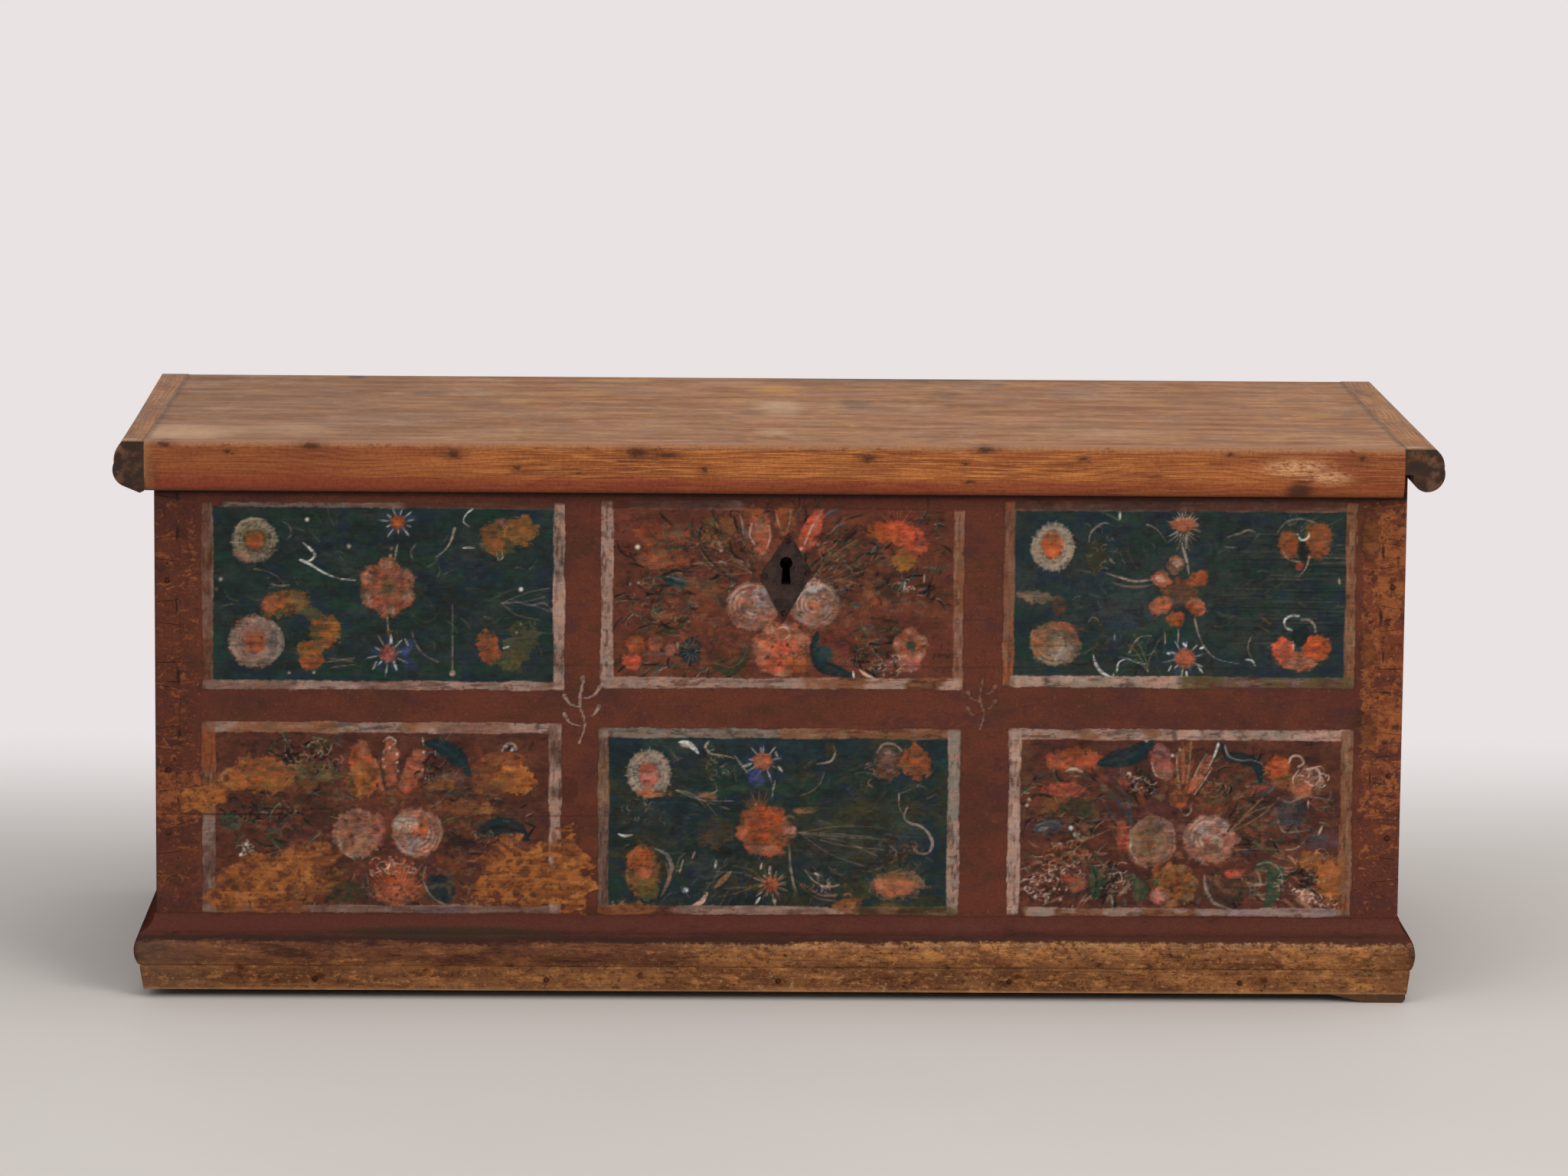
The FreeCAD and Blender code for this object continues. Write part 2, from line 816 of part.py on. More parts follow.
def lock_plate():
    x0, x1, z0, z1 = lock_plate_box
    c = lock_plate_corner
    corners = [(x0 + c, z0), (x1 - c, z0), (x1, z0 + c), (x1, z1 - c), (x1 - c, z1),
               (x0 + c, z1), (x0, z1 - c), (x0, z0 + c)]
    plate = along_y(corners, inner_front, plate_face).cut(keyhole(inner_front, plate_face))
    return cut_all(plate, holes(lock_nail_places(), Vector(0, -1, 0), short_nail_length))


def lock_bolt():
    # Flat bar with a chamfered nose; the key lifts it along by the two notches below.
    n = bolt_notch_width
    d = bolt_notch_depth
    c = bolt_chamfer
    x0 = key_x - bolt_tail
    first = key_x - n * 1.5
    second = key_x + n * 0.5
    points = [(x0, bolt_low), (first, bolt_low), (first, bolt_low + d), (first + n, bolt_low + d),
              (first + n, bolt_low), (second, bolt_low), (second, bolt_low + d), (second + n, bolt_low + d),
              (second + n, bolt_low), (bolt_end - c, bolt_low), (bolt_end, bolt_low + c),
              (bolt_end, bolt_high - c), (bolt_end - c, bolt_high), (x0, bolt_high)]
    return along_y(points, bolt_front, bolt_back)


def lock_guide(x0):
    block = box(x0, x0 + guide_width, plate_face, bolt_back + guide_wall,
                bolt_low - guide_wall - bolt_clearance, bolt_high + guide_wall + bolt_clearance)
    slot = box(x0, x0 + guide_width, bolt_front - bolt_clearance, bolt_back + bolt_clearance,
               bolt_low - bolt_clearance, bolt_high + bolt_clearance)
    return block.cut(slot)


def lock_key_bridge():
    # A strap bent over the keyhole; the key turns on the post that it carries.
    h = bridge_half_width
    s = bridge_strap
    y1 = plate_face + bridge_stand_off
    points = [(key_x - h, plate_face), (key_x - h + s, plate_face), (key_x - h + s, y1 - s),
              (key_x + h - s, y1 - s), (key_x + h - s, plate_face), (key_x + h, plate_face),
              (key_x + h, y1), (key_x - h, y1)]
    bridge = along_z(points, key_z - bridge_height / 2, key_z + bridge_height / 2)
    return bridge.cut(lock_key_post())


def lock_key_post():
    tip = plate_face + key_post_tip_gap
    return rod_y(key_post_radius, tip, plate_face + bridge_stand_off, key_x, key_z)


def lock_spring():
    # A leaf held in a foot on the plate, bowed down to press on the bolt.
    x0 = key_x - spring_foot_from_key
    x1 = x0 + spring_foot_width
    foot_low = bolt_high + spring_foot_rise
    foot_high = foot_low + spring_foot_height
    foot = box(x0, x1, plate_face, bolt_back, foot_low, foot_high)
    tip_x = key_x + spring_tip_from_key
    tip_z = bolt_high + spring_tip_gap
    root_z = foot_low + spring_thickness
    mid_x = (x1 + tip_x) / 2
    mid_z = (root_z + tip_z) / 2 + spring_bow
    t = spring_thickness
    held = x1 - spring_root
    steps = [((mid_x, mid_z), (tip_x, tip_z)), ((tip_x, tip_z + t),),
             ((mid_x, mid_z + t), (x1, root_z + t)), ((held, root_z + t),), ((held, root_z),)]
    wire = outline((x1, root_z), steps, lambda p: Vector(p[0], bolt_front, p[1]))
    leaf = Part.Face(wire).extrude(Vector(0, bolt_thickness, 0))
    return foot.fuse(leaf)


hasp_x0 = bolt_end + hasp_from_bolt
hasp_x1 = hasp_x0 + hasp_thickness
hasp_y0 = inner_front + hasp_from_wall
hasp_y1 = hasp_y0 + hasp_width
hasp_under = wall_top - hasp_plate_thickness


def hasp_nail_places():
    x0 = (hasp_x0 + hasp_x1) / 2 - hasp_plate_length / 2
    y0 = inner_front + hasp_plate_from_wall
    inset = plate_nail_inset
    return [Vector(x, y, hasp_under) for x in (x0 + inset, x0 + hasp_plate_length - inset)
            for y in (y0 + inset, y0 + hasp_plate_depth - inset)]


def lock_hasp():
    # A tongue with an eye hangs from a plate under the lid; the bolt enters the eye.
    mid = (hasp_x0 + hasp_x1) / 2
    y0 = inner_front + hasp_plate_from_wall
    plate = box(mid - hasp_plate_length / 2, mid + hasp_plate_length / 2, y0, y0 + hasp_plate_depth,
                hasp_under, wall_top)
    c = hasp_eye_clearance
    foot = bolt_low - c - hasp_rim
    b = hasp_bevel
    points = [(hasp_y0, foot + b), (hasp_y0 + b, foot), (hasp_y1 - b, foot),
              (hasp_y1, foot + b), (hasp_y1, hasp_under), (hasp_y0, hasp_under)]
    tongue = along_x(points, hasp_x0, hasp_x1)
    eye = box(hasp_x0, hasp_x1, bolt_front - c, bolt_back + c, bolt_low - c, bolt_high + c)
    hasp = plate.fuse(tongue).cut(eye)
    return cut_all(hasp, holes(hasp_nail_places(), Vector(0, 0, 1), short_nail_length))


# Write every piece

os.makedirs("parts", exist_ok=True)

all_plinth_nails = (nails(plinth_front_nails(), Vector(0, 1, 0), plinth_nail_length, small_nail_head)
                    + nails(plinth_left_nails, Vector(1, 0, 0), plinth_nail_length, small_nail_head)
                    + nails(plinth_right_nails, Vector(-1, 0, 0), plinth_nail_length, small_nail_head))
bottom_holes = holes(bottom_nail_places(), Vector(0, 0, 1), board_nail_length)
escutcheon_holes = holes(escutcheon_nail_places(), Vector(0, 1, 0), short_nail_length)
lock_holes = holes(lock_nail_places(), Vector(0, -1, 0), short_nail_length)
plate_holes = holes(all_plate_nails, Vector(0, -1, 0), short_nail_length + plate_thickness)
strap_holes = holes(all_strap_nails, Vector(0, 0, 1), short_nail_length)
hasp_holes = holes(hasp_nail_places(), Vector(0, 0, 1), short_nail_length)
notches = [strap_notch(x) for x in hinge_places.values()]

save("front_board_bottom", cut_all(wall_board(wall_bottom, front_joint_low, front, inner_front), plinth_holes))
save("front_board_middle", wall_board(front_joint_low, front_joint_high, front, inner_front))
top_front = wall_board(front_joint_high, wall_top, front, inner_front)
save("front_board_top", cut_all(top_front, [keyhole(front, inner_front, keyhole_wood_gap)] + till_grooves()
                                + escutcheon_holes + lock_holes))
save("back_board_lower", wall_board(wall_bottom, back_joint, back, inner_back))
top_back = wall_board(back_joint, wall_top, back, inner_back)
save("back_board_upper", cut_all(top_back, notches + till_grooves() + plate_holes))

lower_left = side_board(left, left + wall, wall_bottom, side_joint)
lower_right = side_board(right, right - wall, wall_bottom, side_joint)
upper_left = side_board(left, left + wall, side_joint, wall_top)
save("left_side_lower", cut_all(lower_left, bottom_holes + plinth_holes))
save("right_side_lower", cut_all(lower_right, bottom_holes + plinth_holes))
save("left_side_upper", cut_all(upper_left, till_grooves()))
save("right_side_upper", side_board(right, right - wall, side_joint, wall_top))

for board_name, (y0, y1) in zip(("front", "middle", "rear"), bottom_board_edges()):
    save("bottom_board_" + board_name, cut_all(bottom_board(y0, y1), plinth_holes))
for side_name, x0 in runner_starts().items():
    save("runner_" + side_name, runner(x0))
save_group("runner_pegs", pegs())
save("plinth_front", plinth_front())
save("plinth_left", plinth_side(left, -plinth_left_projection))
save("plinth_right", plinth_side(right, plinth_right_projection))
save("till_bottom", till_bottom())
save("till_wall", till_wall())

save_group("corner_nails", nails(front_corner_nails, Vector(0, 1, 0), corner_nail_length, small_nail_head)
           + nails(back_corner_nails, Vector(0, -1, 0), corner_nail_length, small_nail_head))
save_group("plinth_nails", all_plinth_nails)
save_group("bottom_nails", nails(bottom_nail_places(), Vector(0, 0, 1), board_nail_length))

joints_y = (boards_front, boards_front + front_board_depth, lid_back - rear_board_depth, lid_back)
lid_holes = strap_holes + hasp_holes
save("lid_board_front", cut_all(lid_board(joints_y[0], joints_y[1]), lid_holes))
save("lid_board_middle", cut_all(lid_board(joints_y[1], joints_y[2]), lid_holes))
save("lid_board_rear", cut_all(lid_board(joints_y[2], joints_y[3], rear=True), lid_holes))
save("lid_front_moulding", lid_moulding())
save("lid_cleat_left", left_cleat())
save("lid_cleat_right", right_cleat())

for side_name, x in hinge_places.items():
    save("hinge_strap_" + side_name, hinge_strap(x))
    save("hinge_plate_" + side_name, hinge_plate(x))
    save("hinge_pin_" + side_name, hinge_pin(x))
save_group("hinge_strap_nails", nails(all_strap_nails, Vector(0, 0, 1), short_nail_length))
save_group("hinge_plate_nails", nails(all_plate_nails, Vector(0, -1, 0), short_nail_length + plate_thickness))

save("escutcheon", escutcheon())
save_group("escutcheon_nails", nails(escutcheon_nail_places(), Vector(0, 1, 0), short_nail_length, small_nail_head))
save("lock_plate", lock_plate())
save_group("lock_nails", nails(lock_nail_places(), Vector(0, -1, 0), short_nail_length))
save("lock_bolt", lock_bolt())
save("lock_guide_left", lock_guide(key_x - left_guide_from_key))
save("lock_guide_right", lock_guide(key_x + right_guide_from_key))
save("lock_key_bridge", lock_key_bridge())
save("lock_key_post", lock_key_post())
save("lock_spring", lock_spring())
save("lock_hasp", lock_hasp())
save_group("hasp_nails", nails(hasp_nail_places(), Vector(0, 0, 1), short_nail_length))
print("hinge axis", hinge_axis_y, hinge_axis_z, "bolt", (key_x - bolt_tail + bolt_end) / 2, bolt_front)
print("left", left, "right", right, "lid", -lid_span / 2, "key", key_x, key_z, "hasp", hasp_x0, hasp_y0)
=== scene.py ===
import json
import math

import bmesh
import bpy
import numpy as np
from mathutils import Matrix, Vector


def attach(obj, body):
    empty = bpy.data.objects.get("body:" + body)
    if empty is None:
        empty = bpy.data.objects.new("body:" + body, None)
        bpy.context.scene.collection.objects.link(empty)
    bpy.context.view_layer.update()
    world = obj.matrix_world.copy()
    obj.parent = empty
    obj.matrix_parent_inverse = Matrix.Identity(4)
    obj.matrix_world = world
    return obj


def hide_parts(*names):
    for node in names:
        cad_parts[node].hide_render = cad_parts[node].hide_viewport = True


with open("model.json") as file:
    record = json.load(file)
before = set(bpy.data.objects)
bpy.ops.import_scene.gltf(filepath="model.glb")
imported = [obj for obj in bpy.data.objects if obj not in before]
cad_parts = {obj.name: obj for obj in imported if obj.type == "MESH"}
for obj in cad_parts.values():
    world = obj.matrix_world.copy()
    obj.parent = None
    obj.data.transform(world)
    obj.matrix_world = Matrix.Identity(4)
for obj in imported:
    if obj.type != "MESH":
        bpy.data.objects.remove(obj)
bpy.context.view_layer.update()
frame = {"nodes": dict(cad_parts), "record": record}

# Painted pine blanket chest. Metres in Blender; the paint work is laid out in millimetres.

scene = bpy.context.scene
nodes = frame["nodes"]
mm = 0.001


def newObject(name, data):
    made = bpy.data.objects.new(name, data)
    scene.collection.objects.link(made)
    return made


# Camera, floor and light

camera = {
    "place": (-0.11524, -6.01552, 1.24501),
    "lens": 142.55,
    "turn": -0.0209,
    "dip": -0.14691,
    "lean": 0.00891,
}


def makeCamera():
    made = bpy.data.cameras.new("camera")
    made.lens = camera["lens"]
    made.sensor_width = 36.0
    made.sensor_fit = "HORIZONTAL"
    made.clip_start, made.clip_end = 0.1, 100.0
    seat = newObject("camera", made)
    turned = Matrix.Rotation(camera["turn"], 3, "Z") @ Matrix.Rotation(camera["dip"], 3, "X")
    right, ahead, up = turned.col
    c, s = math.cos(camera["lean"]), math.sin(camera["lean"])
    axes = Matrix((c * right + s * up, c * up - s * right, -ahead)).transposed()
    seat.matrix_world = Matrix.Translation(camera["place"]) @ axes.to_4x4()
    scene.camera = seat


lamps = {
    "key": {"at": (3.4, -4.6, 2.9), "wide": 2.6, "tall": 2.2, "power": 150.0, "tone": (1.0, 0.985, 0.96)},
    "fill": {"at": (-3.6, -4.4, 2.2), "wide": 3.0, "tall": 2.6, "power": 55.0, "tone": (0.97, 0.985, 1.0)},
    "top": {"at": (0.2, -0.6, 4.2), "wide": 3.4, "tall": 2.4, "power": 60.0, "tone": (1.0, 1.0, 1.0)},
}
sky = {"light": 0.42, "seen": (0.80, 0.79, 0.785)}


def makeLamps():
    for name, lamp in lamps.items():
        light = bpy.data.lights.new(name, "AREA")
        light.shape = "RECTANGLE"
        light.size, light.size_y = lamp["wide"], lamp["tall"]
        light.energy = lamp["power"]
        light.color = lamp["tone"]
        seat = newObject(name, light)
        seat.location = lamp["at"]
        aim = Vector((0.0, 0.0, 0.3)) - Vector(lamp["at"])
        seat.rotation_euler = aim.to_track_quat("-Z", "Y").to_euler()


# Small helpers for material nodes

def tone(red, green, blue):
    # A colour as it looks on screen, 0 to 255, turned into the values that nodes take.
    shares = [v / 255 for v in (red, green, blue)]
    return tuple(v / 12.92 if v < 0.0405 else ((v + 0.055) / 1.055) ** 2.4 for v in shares) + (1.0,)


def put(tree, kind, **settings):
    made = tree.nodes.new("ShaderNode" + kind)
    for key, value in settings.items():
        setattr(made, key, value)
    return made


def feed(socket, value):
    if isinstance(value, bpy.types.NodeSocket):
        socket.id_data.links.new(value, socket)
    else:
        socket.default_value = value


def calc(how, *values, clip=False):
    tree = next(value.id_data for value in values if isinstance(value, bpy.types.NodeSocket))
    made = put(tree, "Math", operation=how, use_clamp=clip)
    for socket, value in zip(made.inputs, values + (0.0, 0.0)):
        feed(socket, value)
    return made.outputs[0]


def plus(a, b, clip=False):
    return calc("ADD", a, b, clip=clip)


def minus(a, b):
    return calc("SUBTRACT", a, b)


def times(a, b):
    return calc("MULTIPLY", a, b)


def timesPlus(a, b, c):
    return calc("MULTIPLY_ADD", a, b, c)


def mixed(share, a, b, how="MIX"):
    tree = next(value.id_data for value in (share, a, b) if isinstance(value, bpy.types.NodeSocket))
    made = put(tree, "Mix", data_type="RGBA", blend_type=how)
    for i, value in ((0, share), (6, a), (7, b)):
        feed(made.inputs[i], value)
    return made.outputs[2]


def ramped(value, low, high, out=(0.0, 1.0)):
    made = put(value.id_data, "MapRange", interpolation_type="SMOOTHSTEP")
    for socket, held in zip(made.inputs, (value, low, high, *out)):
        feed(socket, held)
    return made.outputs[0]


def over(colour, tint, value, low, high, most=1.0):
    # The tint covers the colour as value goes from low to high.
    return mixed(ramped(value, low, high, (0.0, most)), colour, tint)


def scaled(spot, scale, shift=(0.0, 0.0, 0.0)):
    made = put(spot.id_data, "VectorMath", operation="MULTIPLY_ADD")
    for socket, held in zip(made.inputs, (spot, scale, shift)):
        feed(socket, held)
    return made.outputs[0]


def noise(spot, scale, shift=(0.0, 0.0, 0.0), detail=3.0, rough=0.5, bend=0.0):
    made = put(spot.id_data, "TexNoise", noise_dimensions="3D")
    even = isinstance(scale, float)
    feed(made.inputs["Vector"], scaled(spot, (scale, scale, scale) if even else scale, shift))
    for key, held in (("Scale", 1.0), ("Detail", detail), ("Roughness", rough), ("Distortion", bend)):
        made.inputs[key].default_value = held
    return made.outputs[0]


def apart(spot):
    made = put(spot.id_data, "SeparateXYZ")
    feed(made.inputs[0], spot)
    return made.outputs[0], made.outputs[1], made.outputs[2]


def distance(u, v):
    return calc("SQRT", plus(times(u, u), times(v, v)))


def blot(u, v, middle, half, soft):
    # 1 inside an oval at middle, falling to 0 at its edge.
    a = calc("DIVIDE", minus(u, middle[0]), half[0])
    b = calc("DIVIDE", minus(v, middle[1]), half[1])
    return ramped(distance(a, b), 1.0, 1.0 - soft)


def brightened(colour, factor):
    made = put(factor.id_data, "CombineColor")
    for socket in made.inputs:
        feed(socket, factor)
    return mixed(1.0, colour, made.outputs[0], "MULTIPLY")


def newFinish(name):
    # A material, and the place on the piece in millimetres.
    made = bpy.data.materials.new(name)
    made.use_nodes = True
    place = put(made.node_tree, "TexCoord").outputs["Object"]
    return made, scaled(place, (1000.0, 1000.0, 1000.0))


shine = {"paint": 0.10, "wax": 0.16, "bare": 0.08, "iron": 0.35, "dry": 0.0}


def dress(finish, colour, rough, height=None, depth=0.3, reach=0.4, gloss="paint", metal=0.0):
    # height is in millimetres of relief, reach the share of it that the bump shows
    tree = finish.node_tree
    shader = tree.nodes["Principled BSDF"]
    feed(shader.inputs["Base Color"], colour)
    feed(shader.inputs["Roughness"], rough)
    feed(shader.inputs["Metallic"], metal)
    shader.inputs["Specular IOR Level"].default_value = shine[gloss]
    if height is not None:
        made = put(tree, "Bump")
        made.inputs["Strength"].default_value = reach
        made.inputs["Distance"].default_value = depth * mm
        feed(made.inputs["Height"], height)
        tree.links.new(made.outputs[0], shader.inputs["Normal"])


def wear(node, finish):
    for held in nodes[node].material_slots:
        held.material = finish


# Pine

def pineGrain(spot, along, seed, heart=(0.0, -38.0), ring=3.6, wander=26.0):
    # Year rings round a heart line that runs along the board: dark late wood, fine fibre, broad cloud.
    parts = apart(spot)
    order = {"x": (0, 1, 2), "y": (1, 0, 2), "z": (2, 0, 1)}[along]
    a, b = (parts[i] for i in order[1:])
    slow = [0.0, 0.0, 0.0]
    fine = [0.0, 0.0, 0.0]
    for i, (s, f) in zip(order, ((0.0042, 0.012), (0.016, 1.15), (0.016, 1.15))):
        slow[i], fine[i] = s, f
    shift = (seed * 7.3, seed * 3.1, seed * 5.7)
    drift = minus(noise(spot, slow, shift, 2.0), 0.5)
    u = minus(a, heart[0])
    v = minus(b, heart[1])
    far = timesPlus(drift, wander * 2, distance(u, v))
    turn = calc("FRACT", calc("DIVIDE", far, ring))
    late = calc("POWER", turn, 3.0)
    fibre = noise(spot, fine, shift, 3.0, 0.6)
    cloud = noise(spot, [s * 2.6 for s in slow], shift, 3.0, 0.55)
    return late, fibre, cloud


def pineColour(grain, light, dark, lines=0.5, streaks=0.5):
    late, fibre, cloud = grain
    tint = over(light, dark, cloud, 0.3, 0.72)
    tint = mixed(times(late, lines), tint, dark, "MULTIPLY")
    darker = ramped(fibre, 0.34, 0.62, (1.0 - 0.5 * streaks, 1.0 + 0.16 * streaks))
    return brightened(tint, darker)


def fineRelief(grain, spot, amount=1.0):
    late, fibre = grain[:2]
    dents = noise(spot, 0.09, (3.0, 1.0, 2.0), 2.0)
    rings = timesPlus(fibre, 0.9 * amount, times(late, 0.3 * amount))
    return timesPlus(dents, 1.4, rings)


def spotted(colour, u, v, middle, half, tint, strength, soft=0.75):
    return mixed(times(blot(u, v, middle, half, soft), strength), colour, tint)


def spots(colour, u, v, places):
    # Stains, knots and pale rubs: middle, half sizes, colour and strength of each.
    for middle, half, tint, strength in places:
        colour = spotted(colour, u, v, middle, half, tint, strength)
    return colour


knotTones = {"core": tone(66, 36, 22), "rim": tone(106, 58, 32)}


def knots(colour, spot, u, v, places):
    # Ragged, so that no two look alike.
    tear = noise(spot, (0.16, 0.16, 0.3), (4.0, 4.0, 4.0), 3.0, 0.7)
    u = plus(u, timesPlus(tear, 16.0, -8.0))
    v = plus(v, timesPlus(tear, -7.0, 3.5))
    for middle, (wide, tall) in places:
        colour = spotted(colour, u, v, middle, (wide * 2.4, tall * 1.8), knotTones["rim"], 0.65, 0.9)
        colour = spotted(colour, u, v, middle, (wide, tall), knotTones["core"], 0.85, 0.8)
    return colour


# Bare pine: back, bottom, runners, pegs and till

bareWood = {"light": tone(150, 112, 78), "dark": tone(112, 76, 50), "grimeAndShade": tone(70, 50, 38)}


def barePine(name, along, seed, heart):
    made, spot = newFinish(name)
    grain = pineGrain(spot, along, seed, heart)
    colour = pineColour(grain, bareWood["light"], bareWood["dark"], 0.6, 0.6)
    dirt = noise(spot, 0.006, (seed, 0.0, 0.0), 4.0)
    colour = over(colour, bareWood["grimeAndShade"], dirt, 0.42, 0.75, 0.6)
    rough = ramped(grain[1], 0.3, 0.7, (0.88, 0.72))
    dress(made, colour, rough, fineRelief(grain, spot), gloss="bare")
    return made


# Lid: worn waxed pine

lidWood = {
    "light": tone(168, 115, 69), "dark": tone(130, 83, 48), "grey": tone(124, 92, 72),
    "pale": tone(184, 146, 112), "sootAndShade": tone(62, 44, 34), "shade": tone(108, 76, 54),
    "under": tone(152, 110, 74), "underDark": tone(116, 80, 52), "yellow": tone(180, 128, 68),
    "red": tone(148, 90, 56),
    # worn shares of each tint: place in the noise, where it starts, how strong it gets
    "worn": ((4.0, "grey", 0.46, 0.66), (6.0, "red", 0.5, 0.6), (8.0, "dark", 0.49, 0.78),
             (2.0, "yellow", 0.52, 0.6)),
    "stains": (
        ((-560, -205), (75, 85), "pale", 0.75), ((-470, -180), (70, 60), "pale", 0.35),
        ((5, 20), (34, 90), "pale", 0.65), ((5, 175), (34, 60), "yellow", 0.7),
        ((-5, -175), (24, 45), "pale", 0.45), ((80, 55), (26, 55), "sootAndShade", 0.4),
        ((172, 150), (22, 50), "sootAndShade", 0.38), ((172, 40), (10, 26), "sootAndShade", 0.42),
        ((-55, 185), (22, 16), "sootAndShade", 0.35), ((-340, 120), (26, 26), "sootAndShade", 0.35),
        ((-420, 262), (14, 24), "sootAndShade", 0.85), ((-290, 40), (34, 60), "sootAndShade", 0.26),
        ((120, 268), (170, 44), "sootAndShade", 0.5), ((228, 228), (18, 14), "sootAndShade", 0.5),
        ((-560, 232), (60, 22), "sootAndShade", 0.45), ((305, 170), (50, 80), "grey", 0.45),
        ((-200, 130), (80, 20), "yellow", 0.4), ((300, -170), (80, 60), "pale", 0.28),
        ((-2, -208), (5, 16), "sootAndShade", 0.45), ((-350, -60), (90, 70), "grey", 0.32),
        ((560, -230), (60, 40), "pale", 0.25), ((-520, 60), (70, 90), "grey", 0.3),
        ((-95, 60), (60, 50), "dark", 0.35), ((390, -70), (50, 34), "dark", 0.35),
        ((-574, -262), (15, 12), "sootAndShade", 0.7),
    ),
}


def lidPine(name, seed, heart):
    made, spot = newFinish(name)
    x, y, z = apart(spot)
    grain = pineGrain(spot, "x", seed, heart, 4.4, 30.0)
    colour = pineColour(grain, lidWood["light"], lidWood["dark"], 0.22, 0.28)
    for shift, tint, low, most in lidWood["worn"]:
        patch = noise(spot, (0.015, 0.019, 0.02), (seed, shift, 1.0), 6.0, 0.76)
        colour = over(colour, lidWood[tint], patch, low, low + 0.16, most)
    colour = over(colour, lidWood["shade"], x, -180.0, -460.0, 0.38)
    stains = [(middle, half, lidWood[tint], most) for middle, half, tint, most in lidWood["stains"]]
    stained = spots(colour, x, y, stains)
    colour = over(colour, stained, z, 516.0, 526.0)
    dirt = ramped(noise(spot, (0.1, 0.05, 0.14), (seed, 2.0, 5.0), 4.0, 0.7), 0.6, 0.78, (0.0, 0.5))
    colour = mixed(dirt, colour, lidWood["sootAndShade"])
    dusty = noise(spot, (0.025, 0.012, 0.03), (seed, 9.0, 3.0), 5.0, 0.7)
    colour = over(colour, lidWood["pale"], dusty, 0.5, 0.8, 0.4)
    # The underside never wore, so the grain still shows there.
    under = pineColour(grain, lidWood["under"], lidWood["underDark"], 0.5, 0.55)
    colour = over(colour, under, z, 526.0, 520.0, 0.86)
    colour = over(colour, lidWood["sootAndShade"], y, 268.0, 281.0, 0.8)
    # Dirt lies along the joints with the two end cleats.
    ends = timesPlus(dirt, 3.0, calc("ABSOLUTE", minus(x, -4.0)))
    colour = over(colour, lidWood["sootAndShade"], ends, 581.0, 587.0, 0.5)
    colour = shaded(colour, spot, 0.12, 0.09)
    rough = ramped(grain[2], 0.3, 0.7, (0.52, 0.68))
    dress(made, colour, rough, fineRelief(grain, spot, 1.2), gloss="wax")
    return made


mouldingWood = {
    "light": tone(174, 104, 54), "dark": tone(128, 70, 40), "red": tone(132, 60, 40),
    "sootAndShade": tone(66, 38, 28), "pale": tone(204, 152, 110), "top": tone(150, 104, 70),
    "gold": tone(186, 118, 60), "shade": tone(114, 56, 36),
    # sooty places by the two corners: middle, half sizes, strength
    "corners": (((486.0, 490.5), (19.0, 13.0), 0.9), ((-584.0, 505.0), (12.0, 20.0), 0.3)),
    "knots": (((-437, 527), (13, 4.4)), ((-304, 520), (9, 6)), ((-133, 522), (13, 7)),
              ((-106, 520), (14, 2.4)), ((-245, 508), (5, 3)), ((-70, 507), (5, 4)),
              ((82, 518), (9, 5.4)), ((192, 527), (12, 4.4)), ((283, 519), (6, 3.6)),
              ((173, 514), (3.4, 2.4)), ((544, 521), (5, 4)), ((177, 497), (6, 2.4)),
              ((-513, 521), (6, 3)), ((-188, 503), (4, 2)), ((420, 524), (5, 2.4)), ((-573, 528), (9, 3))),
}


